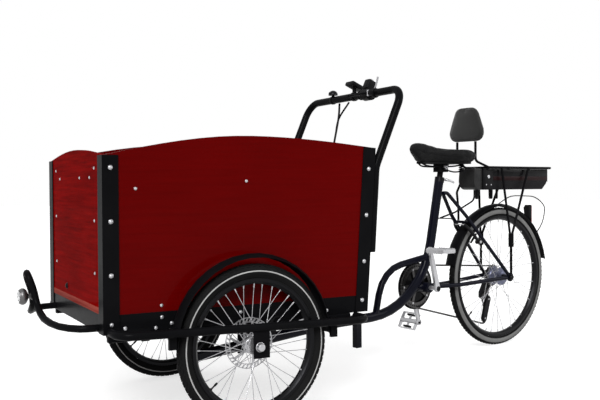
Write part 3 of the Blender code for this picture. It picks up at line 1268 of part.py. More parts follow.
def rack():
    # A platform loop whose front ends rise behind the saddle to carry the backrest
    y = RACK_HALF_WIDTH
    front, rear = RACK_FRONT_BACK, RACK_REAR_BACK
    radius = RACK_ROD_RADIUS
    spread = BACKREST_ROD_SPREAD / 2
    half = [(-BACKREST_BACK, spread, BACKREST_LOW - SEAT),
            (-BACKREST_BACK, spread, RACK_HEIGHT + BACKREST_ROD_RISE), (-front, y, RACK_HEIGHT),
            (-rear, y, RACK_HEIGHT)]
    corners = half + [(x, -side, z) for x, side, z in reversed(half)]
    bends = (radius * 4, radius * 6, radius * 6)
    base = tube("rack", bent_path(corners, bends + bends[::-1]), radius, GROUND, "black_paint", 2)
    tools = []
    for index, share in enumerate((0.04, 0.36, 0.68)):
        x = -front - (rear - front) * share
        tools.append(rod("rack_bar_%d" % index, (x, -y, RACK_HEIGHT), (x, y, RACK_HEIGHT),
                         radius * RACK_BAR_SHARE, GROUND, "black_paint", 8))
    leg_side = DROPOUT_SIDE + SEATSTAY_RADIUS + RACK_LEG_RADIUS + 2 * SEAT
    for side in (1, -1):
        x = -REAR_AXLE_BACK + RACK_SLEEVE_RADIUS
        foot = (x, side * leg_side, REAR_AXLE_HEIGHT + AXLE_NUT_RADIUS + RACK_LEG_RADIUS)
        tools.append(rod("rack_leg_%d" % side, foot, (x, side * leg_side, RACK_VEE_FOOT),
                         RACK_LEG_RADIUS, GROUND, "black_paint", 8))
        tools.append(rod("rack_sleeve_%d" % side,
                         (x, side * leg_side, RACK_VEE_FOOT - RACK_SLEEVE_LENGTH),
                         (x, side * leg_side, RACK_VEE_FOOT), RACK_SLEEVE_RADIUS, GROUND,
                         "black_paint", 12))
        for end, reach in ((1, RACK_VEE_FRONT), (-1, RACK_VEE_REAR)):
            tools.append(rod("rack_vee_%d_%d" % (side, end),
                             (x + end * RACK_LEG_RADIUS / 3, side * leg_side,
                              RACK_VEE_FOOT - RACK_SLEEVE_RADIUS * (2 + end / 2)),
                             (x + end * reach, side * y, RACK_HEIGHT),
                             RACK_LEG_RADIUS * RACK_BAR_SHARE, GROUND, "black_paint", 8))
    bridge_x, bridge_z, _ = stay_bridge()
    seat = bridge_z + FENDER_BRIDGE_RADIUS + SEAT
    stay = [(bridge_x, -RACK_STAY_SIDE, seat), (bridge_x, -RACK_STAY_SIDE, seat + RACK_STAY_RISE),
            (-CASE_FRONT_BACK - radius, -CASE_HALF_WIDTH - radius * 3, BATTERY_FOOT - radius * 2),
            (-front - radius * 2, -y, RACK_HEIGHT)]
    tools.append(tube("rack_stay", bent_path(stay, (radius * 5, radius * 5)),
                      radius * RACK_BAR_SHARE, GROUND, "black_paint", 2))
    unite(base, *tools)


def softened(item, width):
    edge = item.modifiers.new("edge", "BEVEL")
    edge.width = width
    edge.segments = 2
    edge.limit_method = "ANGLE"
    edge.angle_limit = math.radians(50)
    return item


def electrics():
    front, rear = -BATTERY_FRONT_BACK, -BATTERY_REAR_BACK
    high = BATTERY_TOP - BATTERY_FOOT
    outline = [(front, BATTERY_FOOT), (front, BATTERY_TOP), (rear, BATTERY_TOP),
               (rear, BATTERY_FOOT + high * 0.42), (rear + high * 0.20, BATTERY_FOOT + high * 0.34),
               (rear + high * 0.42, BATTERY_FOOT)]
    battery = plate("battery", [outline[::-1]], 2 * BATTERY_HALF_WIDTH, GROUND, "black_plastic",
                    (0, 0, 0), SIDE_TURN)
    softened(battery, BATTERY_HALF_WIDTH / 14)
    nose = CASE_HALF_WIDTH * 0.7
    outline = ([(front + SEAT, BATTERY_TOP), (front + SEAT, BATTERY_FOOT)]
               + arc((-CASE_FRONT_BACK - nose, BATTERY_FOOT + nose), nose, -math.pi / 2, 0, 5)
               + [(-CASE_FRONT_BACK, BATTERY_TOP)])
    case = plate("controller_case", [outline], 2 * CASE_HALF_WIDTH, GROUND, "black_plastic",
                 (0, 0, 0), SIDE_TURN)
    softened(case, CASE_HALF_WIDTH / 8)
    end = seat_line(LOOP_JOINT * 1.38) + MAIN_RADIUS * MAIN_SLIM_SHARE + LEAD_RADIUS
    y = RACK_ROD_RADIUS * 2 + LEAD_RADIUS
    root = -CASE_FRONT_BACK - nose - LEAD_RADIUS
    corners = [(root, y, BATTERY_FOOT - SEAT), (root, y, BATTERY_FOOT - CASE_HALF_WIDTH),
               (-(CASE_FRONT_BACK + end) / 2, y, LOOP_JOINT * 1.43),
               (-end - SEAT, y, LOOP_JOINT * 1.38)]
    tube("battery_lead", bent_path(corners, (LEAD_BEND, LEAD_BEND)), LEAD_RADIUS, GROUND,
         "black_plastic", 2)


def rear_fender_and_light():
    place = (-REAR_AXLE_BACK, 0, REAR_AXLE_HEIGHT)
    fender = arch("rear_fender", REAR_FENDER_RADIUS, REAR_FENDER_START, REAR_FENDER_END, GROUND,
                  place)
    bridge = stay_bridge()
    run = Vector((bridge[0] + REAR_AXLE_BACK, bridge[1] - REAR_AXLE_HEIGHT))
    top = run.length - FENDER_BRIDGE_RADIUS - SEAT
    half = FENDER_CLIP_WIDTH / 2
    unite(fender, block("fender_clip", (REAR_FENDER_RADIUS - FENDER_WALL / 2, -half, -half),
                        (top, half, half), GROUND, "black_paint", place,
                        (0, -math.atan2(run.y, run.x), 0)))
    hoop_shares = ((-0.03, 1.0), (-0.12, 1.04), (-0.30, 1.10), (-0.60, 1.10), (-0.82, 1.08),
                   (-1.01, 0.98), (-1.05, 0.88), (-0.99, 0.70), (-0.84, 0.543))
    knots = [(-REAR_AXLE_BACK + REAR_FENDER_RADIUS * along, 0, REAR_AXLE_HEIGHT + REAR_FENDER_RADIUS * up)
             for along, up in hoop_shares]
    unite(fender, tube("fender_hoop", smooth_path(knots, 3), HOOP_RADIUS, GROUND, "black_paint", 1))
    # The lamp stands upright with its foot on one facet of the mudguard
    step = (REAR_FENDER_END - REAR_FENDER_START) / FENDER_STEPS
    angle = REAR_FENDER_START + step * (LIGHT_FACET + 0.5)
    face = (REAR_FENDER_RADIUS + FENDER_WALL / 2) * math.cos(step / 2) + SEAT
    slope = TAIL_LIGHT_DEPTH / 2 / math.tan(angle)
    x, z = face * math.cos(angle), face * math.sin(angle)
    near, far = x + TAIL_LIGHT_DEPTH / 2, x - TAIL_LIGHT_DEPTH / 2
    outline = [(near, z - slope), (near, z - slope + TAIL_LIGHT_HEIGHT),
               (far, z - slope + TAIL_LIGHT_HEIGHT), (far, z + slope)]
    light = plate("tail_light", [outline[::-1]], TAIL_LIGHT_WIDTH, GROUND, "red_lens", place,
                  SIDE_TURN)
    softened(light, TAIL_LIGHT_DEPTH / 8)


# Build
side_panels()
end_panels()
floor_board()
corner_posts()
front_sub_frame()
outer_rails()
front_axles()
front_fenders()
headlight(bumper())
handlebar()
controls()
brake_cables()
front_wheel("front_wheel_left", 1)
front_wheel("front_wheel_right", -1)
rear_frame()
rear_stays()
rear_axle()
rear_wheel()
cassette()
crankset()
chainring()
pedals()
chain()
derailleur()
seat_post()
saddle()
backrest()
rack()
electrics()
rear_fender_and_light()


# Stand the whole on its lowest point, under the middle of its overall size
def stand_on_origin():
    bpy.context.view_layer.update()
    graph = bpy.context.evaluated_depsgraph_get()
    spots = []
    for item in PARTS.objects:
        if item.type == "MESH":
            seen = item.evaluated_get(graph)
            mesh = seen.to_mesh()
            spots += [seen.matrix_world @ corner.co for corner in mesh.vertices]
            seen.to_mesh_clear()
    low = [min(spot[axis] for spot in spots) for axis in range(3)]
    high = [max(spot[axis] for spot in spots) for axis in range(3)]
    GROUND.location = (-(low[0] + high[0]) / 2, -(low[1] + high[1]) / 2, -low[2])


stand_on_origin()
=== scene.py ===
# Looks of the electric cargo tricycle: finishes, tread, spokes, chain, soft seat and small fasteners,
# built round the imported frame. Metres, +X forward, +Y to the rider's left, +Z up.
import json
import math

import bmesh
import bpy
from mathutils import Matrix, Vector
from mathutils.bvhtree import BVHTree


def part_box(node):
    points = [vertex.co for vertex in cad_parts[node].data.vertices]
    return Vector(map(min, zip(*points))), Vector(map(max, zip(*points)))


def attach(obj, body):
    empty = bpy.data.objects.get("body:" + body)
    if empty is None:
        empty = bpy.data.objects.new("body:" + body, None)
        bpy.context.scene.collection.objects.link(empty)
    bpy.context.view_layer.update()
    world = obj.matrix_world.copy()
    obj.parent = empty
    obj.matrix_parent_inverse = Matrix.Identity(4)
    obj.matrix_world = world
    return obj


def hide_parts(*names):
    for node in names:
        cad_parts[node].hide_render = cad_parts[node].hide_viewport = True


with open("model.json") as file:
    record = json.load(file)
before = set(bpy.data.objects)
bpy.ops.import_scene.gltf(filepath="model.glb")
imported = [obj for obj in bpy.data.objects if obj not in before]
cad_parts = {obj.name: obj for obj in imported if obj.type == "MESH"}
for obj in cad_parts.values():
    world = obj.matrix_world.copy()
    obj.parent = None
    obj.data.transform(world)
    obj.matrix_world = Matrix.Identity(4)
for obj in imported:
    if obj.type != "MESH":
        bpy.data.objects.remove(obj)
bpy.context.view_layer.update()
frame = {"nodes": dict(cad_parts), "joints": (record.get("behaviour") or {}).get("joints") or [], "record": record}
scene = bpy.context.scene
scene.view_settings.view_transform = "Standard"
joints = {joint["name"]: joint for joint in frame["joints"]}
pivot = Vector(joints["steering"]["pos_m"])
steer = math.atan2(-joints["left_front_wheel_spin"]["axis"][0], joints["left_front_wheel_spin"]["axis"][1])
print("frame loaded:", len(frame["nodes"]), "nodes")


def addItem(name, data):
    item = bpy.data.objects.new(name, data)
    scene.collection.objects.link(item)
    return item


# Camera: its place from the steering axis, angles in degrees, and lens
camera = {"fromPivot": (1.3788, 2.504), "height": 0.7336, "yaw": 143.064, "pitch": 0.963, "roll": -0.339,
          "focalPixels": 829.2, "imageWidth": 600, "sensor": 36.0}


def makeCamera():
    lens = bpy.data.cameras.new("camera")
    lens.sensor_width = camera["sensor"]
    lens.lens = camera["focalPixels"] / camera["imageWidth"] * camera["sensor"]
    eye = addItem("camera", lens)
    yaw, pitch, roll = (math.radians(camera[k]) for k in ("yaw", "pitch", "roll"))
    ahead = Vector((-math.sin(yaw) * math.cos(pitch), math.cos(yaw) * math.cos(pitch), -math.sin(pitch)))
    right = Vector((math.cos(yaw), math.sin(yaw), 0))
    up = right.cross(ahead)
    across = right * math.cos(roll) + up * math.sin(roll)
    above = up * math.cos(roll) - right * math.sin(roll)
    turn = Matrix((across, above, -ahead)).transposed()
    spot = Vector((pivot.x + camera["fromPivot"][0], pivot.y + camera["fromPivot"][1], camera["height"]))
    eye.matrix_world = Matrix.Translation(spot) @ turn.to_4x4()
    scene.camera = eye


makeCamera()

# Two grids to build in: the rear frame's, from the ground under the steering axis, and the front
# module's, from the ground midway between the front wheels and turned with the steering
rearGrid = Matrix.Translation((pivot.x, pivot.y, 0))
frontMiddle = (Vector(joints["left_front_wheel_spin"]["pos_m"])
               + Vector(joints["right_front_wheel_spin"]["pos_m"])) / 2
frontGrid = Matrix.Translation((frontMiddle.x, frontMiddle.y, 0)) @ Matrix.Rotation(steer, 4, "Z")


# Shader building: a node output that takes part in sums, and a material with its nodes
class Signal:
    def __init__(self, owner, socket):
        self.owner = owner
        self.socket = socket

    def join(self, operation, first, second):
        return self.owner.add("ShaderNodeMath", {"operation": operation}, Value=first, Value_001=second)

    def __add__(self, other):
        return self.join("ADD", self, other)

    def __radd__(self, other):
        return self.join("ADD", other, self)

    def __sub__(self, other):
        return self.join("SUBTRACT", self, other)

    def __rsub__(self, other):
        return self.join("SUBTRACT", other, self)

    def __mul__(self, other):
        return self.join("MULTIPLY", self, other)

    def __rmul__(self, other):
        return self.join("MULTIPLY", other, self)


class Finish:
    def __init__(self, name, **constants):
        self.material = bpy.data.materials.new(name)
        self.material.use_nodes = True
        self.tree = self.material.node_tree
        self.shader = self.tree.nodes["Principled BSDF"]
        self.grid = self.add("ShaderNodeTexCoord", out="Object")
        for key, value in constants.items():
            self.put(key, value)

    def socket(self, group, key):
        for socket in group:
            if socket.identifier == key:
                return socket
        return group[key.replace("_", " ")]

    def feed(self, socket, value):
        if isinstance(value, Signal):
            self.tree.links.new(value.socket, socket)
        elif hasattr(socket.default_value, "__len__") and not hasattr(value, "__len__"):
            socket.default_value = [value] * len(socket.default_value)
        elif hasattr(value, "__len__") and len(socket.default_value) == 4 and len(value) == 3:
            socket.default_value = (*value, 1)
        else:
            socket.default_value = value

    def add(self, kind, settings=None, out=None, **inputs):
        node = self.tree.nodes.new(kind)
        for key, value in (settings or {}).items():
            if key == "stops":
                ramp = node.color_ramp
                while len(ramp.elements) > 1:
                    ramp.elements.remove(ramp.elements[0])
                for index, (place, colour) in enumerate(value):
                    stop = ramp.elements[0] if index == 0 else ramp.elements.new(place)
                    stop.position = place
                    stop.color = (colour, colour, colour, 1) if isinstance(colour, (int, float)) else (*colour, 1)
            else:
                setattr(node, key, value)
        for key, value in inputs.items():
            self.feed(self.socket(node.inputs, key), value)
        wanted = self.socket(node.outputs, out) if out else next(s for s in node.outputs if s.enabled)
        return Signal(self, wanted)

    def put(self, key, value):
        self.feed(self.socket(self.shader.inputs, key), value)

    def stretched(self, scale):
        return self.add("ShaderNodeMapping", Vector=self.grid, Scale=scale)

    def clouds(self, scale, detail=3.0, rough=0.5, at=None):
        return self.add("ShaderNodeTexNoise", out="Fac", Vector=at or self.grid, Scale=scale, Detail=detail,
                        Roughness=rough)

    def ramp(self, value, *stops):
        return self.add("ShaderNodeValToRGB", {"stops": stops}, out="Color", Fac=value)

    def mixed(self, share, first, second):
        return self.add("ShaderNodeMix", {"data_type": "RGBA"}, out="Result_Color", Factor_Float=share,
                        A_Color=first, B_Color=second)

    def edges(self, radius):
        # How far a soft edge of this radius turns away from the face: 0 on the flat, 1 on an edge
        soft = self.add("ShaderNodeBevel", {"samples": 4}, Radius=radius)
        face = self.add("ShaderNodeNewGeometry", out="Normal")
        same = self.add("ShaderNodeVectorMath", {"operation": "DOT_PRODUCT"}, out="Value", Vector=soft,
                        Vector_001=face)
        return soft, self.ramp(1 - same, (0.02, 0.0), (0.22, 1.0))

    def relief(self, height, depth, normal=None):
        more = {"Normal": normal} if normal else {}
        self.put("Normal", self.add("ShaderNodeBump", Height=height, Distance=depth, Strength=1.0, **more))


# Colours of the finishes, linear red, green and blue
look = {"lacquer": (0.116, 0.0005, 0.0005), "lacquerDark": (0.090, 0.0003, 0.0003),
        "lacquerEdge": (0.040, 0.001, 0.001), "frontLacquerLit": (0.270, 0.0024, 0.0018),
        "paint": (0.0036, 0.0036, 0.0042), "paintWear": (0.0120, 0.0120, 0.0130), "frame": (0.0036, 0.0040, 0.0085),
        "rubber": (0.0085, 0.0085, 0.0087), "line": (0.40, 0.40, 0.395), "band": (0.15, 0.15, 0.148),
        "silver": (0.44, 0.44, 0.455), "alloy": (0.012, 0.012, 0.013), "chain": (0.070, 0.068, 0.068),
        "plastic": (0.0060, 0.0060, 0.0066), "vinyl": (0.0042, 0.0042, 0.0046), "pad": (0.0210, 0.0210, 0.0207),
        "maroon": (0.0100, 0.0030, 0.0034), "case": (0.0240, 0.0240, 0.0243), "hub": (0.105, 0.112, 0.165),
        "lampShell": (0.115, 0.112, 0.114), "batten": (0.330, 0.075, 0.056), "battenDark": (0.200, 0.022, 0.018),
        "lens": (0.30, 0.006, 0.006)}


def shade(colour, gain, lift=0.0):
    return [min(1.0, v * gain + lift) for v in colour]


def lacquer(name, colour, dark, shine, coat):
    # Red lacquered birch ply: long faint grain under a deep clear coat, darker edges
    made = Finish(name, Coat_Weight=coat, Coat_Roughness=0.10, Specular_IOR_Level=shine)
    drift = made.clouds(2.3, 2.0)
    grain = made.clouds(3.2, 8.0, 0.62, made.stretched((1.6, 1.6, 34.0)))
    pores = made.clouds(26.0, 3.0, 0.5, made.stretched((1.0, 1.0, 22.0)))
    tone = made.ramp(grain * 0.62 + drift * 0.38, (0.34, 0.0), (0.66, 1.0))
    soft, edgeShare = made.edges(0.0018)
    body = made.mixed(tone, dark, colour)
    made.put("Base Color", made.mixed(edgeShare * 0.75, body, look["lacquerEdge"]))
    made.put("Roughness", 0.20 + made.clouds(60.0, 2.0) * 0.08 + pores * 0.05)
    made.relief(grain * 0.5 + pores * 0.5, 0.00012, soft)
    return made.material


def paint(name, colour, rough, coat, peel):
    # Powder or gloss paint on steel: orange peel, a little dust and rubbed edges
    made = Finish(name, Coat_Weight=coat, Coat_Roughness=0.12, Specular_IOR_Level=0.012)
    skin = made.clouds(420.0, 2.0)
    patches = made.clouds(7.0, 4.0, 0.6)
    soft, edgeShare = made.edges(0.0012)
    scuffs = made.ramp(made.clouds(38.0, 5.0, 0.7), (0.50, 0.0), (0.68, 1.0))
    body = made.mixed(made.ramp(patches, (0.35, 0.0), (0.75, 1.0)), colour, shade(colour, 1.35, 0.0008))
    made.put("Base Color", made.mixed(edgeShare * (0.25 + scuffs * 0.35), body, look["paintWear"]))
    made.put("Roughness", rough + patches * 0.12 + scuffs * 0.04)
    made.relief(skin, peel, soft)
    return made.material


def rubber(name, colour, rough=0.72):
    # Road tyre rubber: fine moulded nibs, dry dusty bloom
    made = Finish(name, Specular_IOR_Level=0.03)
    dust = made.ramp(made.clouds(16.0, 5.0, 0.62), (0.42, 0.0), (0.78, 1.0))
    nibs = made.add("ShaderNodeTexVoronoi", out="Distance", Vector=made.grid, Scale=520.0)
    made.put("Base Color", made.mixed(dust * 0.35, colour, shade(colour, 1.9, 0.004)))
    made.put("Roughness", rough + dust * 0.10)
    made.relief(nibs * 0.5 + made.clouds(160.0, 2.0) * 0.5, 0.00022)
    return made.material


def metal(name, colour, rough, brushed=(60.0, 60.0, 60.0), dirt=0.25, bare=1.0):
    # Bright or blackened metal with fine tool marks and a trace of grime
    made = Finish(name, Metallic=bare)
    marks = made.clouds(12.0, 6.0, 0.6, made.stretched(brushed))
    grime = made.ramp(made.clouds(55.0, 4.0, 0.6), (0.52, 0.0), (0.80, 1.0))
    soft, edgeShare = made.edges(0.0008)
    body = made.mixed(grime * dirt, colour, shade(colour, 0.35))
    made.put("Base Color", made.mixed(edgeShare * 0.5, body, shade(colour, 1.3, 0.01)))
    made.put("Roughness", rough + marks * 0.12 + grime * 0.15)
    made.relief(marks, 0.00006, soft)
    return made.material


def plastic(name, colour, rough=0.42, spark=0.00018):
    # Moulded plastic with a spark-eroded grain
    made = Finish(name, Specular_IOR_Level=0.05)
    grain = made.add("ShaderNodeTexVoronoi", out="Distance", Vector=made.grid, Scale=900.0)
    haze = made.clouds(22.0, 4.0, 0.6)
    soft, edgeShare = made.edges(0.0015)
    made.put("Base Color", made.mixed(made.ramp(haze, (0.4, 0.0), (0.8, 1.0)), colour,
                                      shade(colour, 1.5, 0.002)))
    made.put("Roughness", rough + haze * 0.10 - edgeShare * 0.06)
    made.relief(grain * 0.6 + made.clouds(300.0, 2.0) * 0.4, spark, soft)
    return made.material


def vinyl(name, colour, scale, sheen=0.0):
    # Soft coated cover: pebbled grain cells with faint creases
    made = Finish(name, Specular_IOR_Level=0.10, Sheen_Weight=sheen, Sheen_Roughness=0.5)
    cells = made.add("ShaderNodeTexVoronoi", {"feature": "DISTANCE_TO_EDGE"}, out="Distance", Vector=made.grid,
                     Scale=scale)
    pebbleAndGrooveShade = made.ramp(cells, (0.0, 0.0), (0.22, 0.8), (0.5, 1.0))
    creases = made.ramp(made.clouds(30.0, 6.0, 0.65, made.stretched((1.0, 2.6, 1.4))), (0.46, 0.0), (0.50, 1.0),
                        (0.54, 0.0))
    # Base colour darker in the grooves between the pebbles and lighter on their tops: painted shade and painted
    # highlight in the grain
    made.put("Base Color", made.mixed(pebbleAndGrooveShade * 0.6, shade(colour, 0.6), shade(colour, 1.25)))
    made.put("Roughness", 0.50 - pebbleAndGrooveShade * 0.08 + made.clouds(14.0, 3.0) * 0.10)
    made.relief(pebbleAndGrooveShade - creases * 0.35, 0.00035)
    return made.material


def lamp(name, colour, rough, clear, cells):
    # Moulded lens with a prism grid behind its face
    made = Finish(name, Transmission_Weight=clear, Coat_Weight=0.6, Coat_Roughness=0.04, IOR=1.49)
    grid = made.add("ShaderNodeTexChecker", out="Fac", Vector=made.grid, Scale=cells)
    made.put("Base Color", made.mixed(grid, colour, shade(colour, 1.25, 0.01)))
    made.put("Roughness", rough + made.clouds(90.0, 2.0) * 0.05)
    made.relief(grid, 0.0003)
    return made.material


finish = {
    "lacquer": lacquer("deepRedLacquer", look["lacquer"], look["lacquerDark"], 0.010, 0.03),
    # The front panel's red is the side panels' lacquer made brighter: painted light for the light the front panel
    # catches
    "frontLacquerLit": lacquer("frontRedLacquerLit", look["frontLacquerLit"], look["lacquer"], 0.0, 0.02),
    # The batten's pale pink is painted highlight, standing for the lit top of the ledge at the front panel's foot
    "batten": lacquer("paleBattenPaintedHighlight", look["batten"], look["battenDark"], 0.0, 0.03),
    "paint": paint("satinBlackPowder", look["paint"], 0.28, 0.02, 0.00010),
    "framePaint": paint("blueBlackGloss", look["frame"], 0.18, 0.12, 0.00005),
    "rubber": rubber("tyreRubber", look["rubber"]),
    "line": rubber("sidewallLine", look["line"], 0.55),
    "band": rubber("sidewallBand", look["band"], 0.60),
    "silver": metal("brightAlloy", look["silver"], 0.22, (40.0, 8.0, 40.0), 0.12, 0.80),
    "alloy": metal("blackAlloy", look["alloy"], 0.30, (30.0, 30.0, 30.0), 0.10),
    "chain": metal("oiledSteel", look["chain"], 0.34, (50.0, 50.0, 50.0), 0.55),
    "plastic": plastic("blackPlastic", look["plastic"]),
    "hubMetal": metal("hubSteel", look["hub"], 0.26, (40.0, 8.0, 40.0), 0.20, 0.8),
    "lampShell": metal("lampShell", look["lampShell"], 0.30, (30.0, 30.0, 30.0), 0.25, 0.8),
    # The controller case's grey is its dark plastic lightened: partly its own colour, partly painted highlight
    "case": plastic("caseGreyPaintedHighlight", look["case"], 0.24),
    "maroon": plastic("maroonPlastic", look["maroon"], 0.30),
    "glossPlastic": plastic("glossBlackPlastic", look["plastic"], 0.12, 0.00002),
    "vinyl": vinyl("saddleVinyl", look["vinyl"], 620.0),
    "pad": vinyl("backrestCover", look["pad"], 520.0, 0.25),
    "lens": lamp("redLens", look["lens"], 0.10, 0.0, 260.0),
    "glass": lamp("clearLens", (0.86, 0.88, 0.90), 0.04, 0.85, 180.0),
}
print("finishes made:", len(finish))


# Mesh building
def lathe(form, profile, segments, matrix, paints=0):
    # Turns (radius, along) points round the local Y axis; a profile ending on the axis stays open
    rings = []
    for radius, along in profile:
        if radius == 0:
            rings.append([form.verts.new(matrix @ Vector((0, along, 0)))] * segments)
        else:
            rings.append([form.verts.new(matrix @ Vector((radius * math.cos(2 * math.pi * k / segments), along,
                                                          radius * math.sin(2 * math.pi * k / segments))))
                          for k in range(segments)])
    ends = rings[1:] + (rings[:1] if profile[-1][0] else [])
    for index, (near, far) in enumerate(zip(rings, ends)):
        for k in range(segments):
            n = (k + 1) % segments
            corners = []
            for vert in (near[k], near[n], far[n], far[k]):
                if vert not in corners:
                    corners.append(vert)
            if len(corners) > 2:
                face = form.faces.new(corners)
                face.material_index = paints[index] if hasattr(paints, "__len__") else paints


def tubeAlong(form, points, radius, sides, matrix, closed=False, paint=0):
    # A round tube through points; radius is one number or one for each point
    spots = [Vector(p) for p in points]
    count = len(spots)
    radii = list(radius) if hasattr(radius, "__len__") else [radius] * count
    ways = []
    for k in range(count):
        ahead = spots[(k + 1) % count] if closed or k < count - 1 else spots[k]
        behind = spots[k - 1] if closed or k > 0 else spots[k]
        ways.append((ahead - behind).normalized())
    side = ways[0].orthogonal().normalized()
    rings = []
    for k in range(count):
        side = (side - ways[k] * side.dot(ways[k])).normalized()
        up = ways[k].cross(side)
        rings.append([form.verts.new(matrix @ (spots[k] + (side * math.cos(2 * math.pi * j / sides)
                                                           + up * math.sin(2 * math.pi * j / sides)) * radii[k]))
                      for j in range(sides)])
    if closed:
        drift = min(range(sides), key=lambda j: (rings[0][j].co - rings[-1][0].co).length)
    for k in range(count if closed else count - 1):
        last = closed and k == count - 1
        for j in range(sides):
            n = (j + 1) % sides
            far = rings[(k + 1) % count]
            shift = drift if last else 0
            face = form.faces.new((rings[k][j], rings[k][n], far[(n + shift) % sides], far[(j + shift) % sides]))
            face.material_index = paint
    if not closed:
        form.faces.new(rings[0][::-1]).material_index = paint
        form.faces.new(rings[-1]).material_index = paint


def roundOff(form, edges, edge, steps):
    bmesh.ops.bevel(form, geom=list(edges), offset=edge, segments=steps, profile=0.5, affect="EDGES",
                    clamp_overlap=True, material=-1)


def slab(form, outline, low, high, matrix, edge=0.0, paint=0, steps=2):
    # An outline in the local XZ plane given a thickness along Y, its edges rounded
    near = [form.verts.new(matrix @ Vector((x, low, z))) for x, z in outline]
    far = [form.verts.new(matrix @ Vector((x, high, z))) for x, z in outline]
    made = [form.faces.new(near[::-1]), form.faces.new(far)]
    count = len(outline)
    for k in range(count):
        n = (k + 1) % count
        made.append(form.faces.new((near[k], near[n], far[n], far[k])))
    for face in made:
        face.material_index = paint
    if edge:
        roundOff(form, {e for face in made[:2] for e in face.edges}, edge, steps)


def brick(form, low, high, matrix, edge=0.0, paint=0, steps=2):
    made = bmesh.ops.create_cube(form, size=1.0)["verts"]
    for vert in made:
        vert.co = matrix @ Vector([l + (h - l) * (c + 0.5) for l, h, c in zip(low, high, vert.co)])
    sides = {f for vert in made for f in vert.link_faces}
    for face in sides:
        face.material_index = paint
    if edge:
        roundOff(form, {e for vert in made for e in vert.link_edges}, edge, steps)


def bentPath(corners, bends, step=math.radians(9)):
    # A polyline whose inner corners are rounded, each with its own radius
    points = [Vector(corners[0])]
    for index, bend in enumerate(bends):
        here = Vector(corners[index + 1])
        back = (Vector(corners[index]) - here).normalized()
        on = (Vector(corners[index + 2]) - here).normalized()
        turn = math.pi - back.angle(on)
        reach = bend * math.tan(turn / 2)
        middle = here + (back + on).normalized() * (bend / math.cos(turn / 2))
        first, last = here + back * reach - middle, here + on * reach - middle
        ticks = max(2, math.ceil(turn / step))
        for tick in range(ticks + 1):
            share = tick / ticks
            part = (first * math.sin((1 - share) * turn) + last * math.sin(share * turn)) / math.sin(turn)
            points.append(middle + part)
    points.append(Vector(corners[-1]))
    return points


def smoothPath(knots, ticks):
    spots = [Vector(k) for k in knots]
    spots = [spots[0] * 2 - spots[1]] + spots + [spots[-1] * 2 - spots[-2]]
    points = []
    for k in range(1, len(spots) - 2):
        a, b, c, d = spots[k - 1:k + 3]
        for tick in range(ticks):
            t = tick / ticks
            points.append(((2 * b) + (c - a) * t + (2 * a - 5 * b + 4 * c - d) * t ** 2
                           + (3 * b - a - 3 * c + d) * t ** 3) / 2)
    return points + [spots[-2]]


def arc(centre, radius, start, end, count):
    return [(centre[0] + radius * math.cos(start + (end - start) * k / count),
             centre[1] + radius * math.sin(start + (end - start) * k / count)) for k in range(count + 1)]


def addMesh(form, mesh, paint=0):
    # Adds a finished mesh to a form, all in one of the piece's finishes
    before = len(form.faces)
    form.from_mesh(mesh)
    form.faces.ensure_lookup_table()
    for face in form.faces[before:]:
        face.material_index = paint
    bpy.data.meshes.remove(mesh)


def closeUp(form, name):
    bmesh.ops.remove_doubles(form, verts=form.verts, dist=1e-6)
    bmesh.ops.dissolve_degenerate(form, edges=form.edges, dist=1e-7)
    bmesh.ops.recalc_face_normals(form, faces=form.faces)
    mesh = bpy.data.meshes.new(name)
    form.to_mesh(mesh)
    form.free()
    return mesh


def place(name, source, body, slot, finishes, replaced=(), crease=38):
    # Puts a finished piece in the scene on its body
    mesh = closeUp(source, name) if isinstance(source, bmesh.types.BMesh) else source
    marks = [0] * len(mesh.polygons)
    mesh.polygons.foreach_get("material_index", marks)
    mesh.materials.clear()
    for coat in finishes:
        mesh.materials.append(finish[coat])
    mesh.polygons.foreach_set("material_index", marks)
    mesh.shade_smooth()
    mesh.set_sharp_from_angle(angle=math.radians(crease))
    item = addItem(name, mesh)
    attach(item, body)
    if replaced:
        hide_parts(*replaced)
    return item


# Three geometry node trees for what repeats
def newTree(name, *inputs):
    tree = bpy.data.node_groups.new(name, "GeometryNodeTree")
    for label, kind in (("Shape", "Geometry"),) + inputs:
        tree.interface.new_socket(label, in_out="INPUT", socket_type="NodeSocket" + kind)
    tree.interface.new_socket("Shape", in_out="OUTPUT", socket_type="NodeSocketGeometry")
    return tree, tree.nodes.new("NodeGroupInput"), tree.nodes.new("NodeGroupOutput")


def wire(tree, *links):
    # Joins outputs to inputs, each link given as (node, output, node, input)
    for giver, output, taker, entry in links:
        tree.links.new(giver.outputs[output], taker.inputs[entry])


def endTree(tree, start, end, copies):
    real = tree.nodes.new("GeometryNodeRealizeInstances")
    coat = tree.nodes.new("GeometryNodeSetMaterial")
    wire(tree, (copies, "Instances", real, "Geometry"), (real, "Geometry", coat, "Geometry"),
         (start, "Finish", coat, "Material"), (coat, "Geometry", end, "Shape"))
    return tree


def ringTree():
    # Copies of the shape at even angles round the Y axis
    tree, start, end = newTree("copiesRoundAxis", ("Count", "Int"), ("Start Angle", "Float"), ("Finish", "Material"))
    new = tree.nodes.new
    line, index = new("GeometryNodeMeshLine"), new("GeometryNodeInputIndex")
    line.inputs["Offset"].default_value = (0, 0, 0)
    share, angle, turn = (new("ShaderNodeMath") for _ in range(3))
    share.operation, angle.operation, turn.operation = "DIVIDE", "MULTIPLY", "ADD"
    angle.inputs[1].default_value = 2 * math.pi
    spin, copies = new("ShaderNodeCombineXYZ"), new("GeometryNodeInstanceOnPoints")
    wire(tree, (start, "Count", line, "Count"), (index, 0, share, 0), (start, "Count", share, 1),
         (share, 0, angle, 0), (angle, 0, turn, 0), (start, "Start Angle", turn, 1), (turn, 0, spin, "Y"),
         (line, "Mesh", copies, "Points"), (start, "Shape", copies, "Instance"), (spin, "Vector", copies, "Rotation"))
    return endTree(tree, start, end, copies)


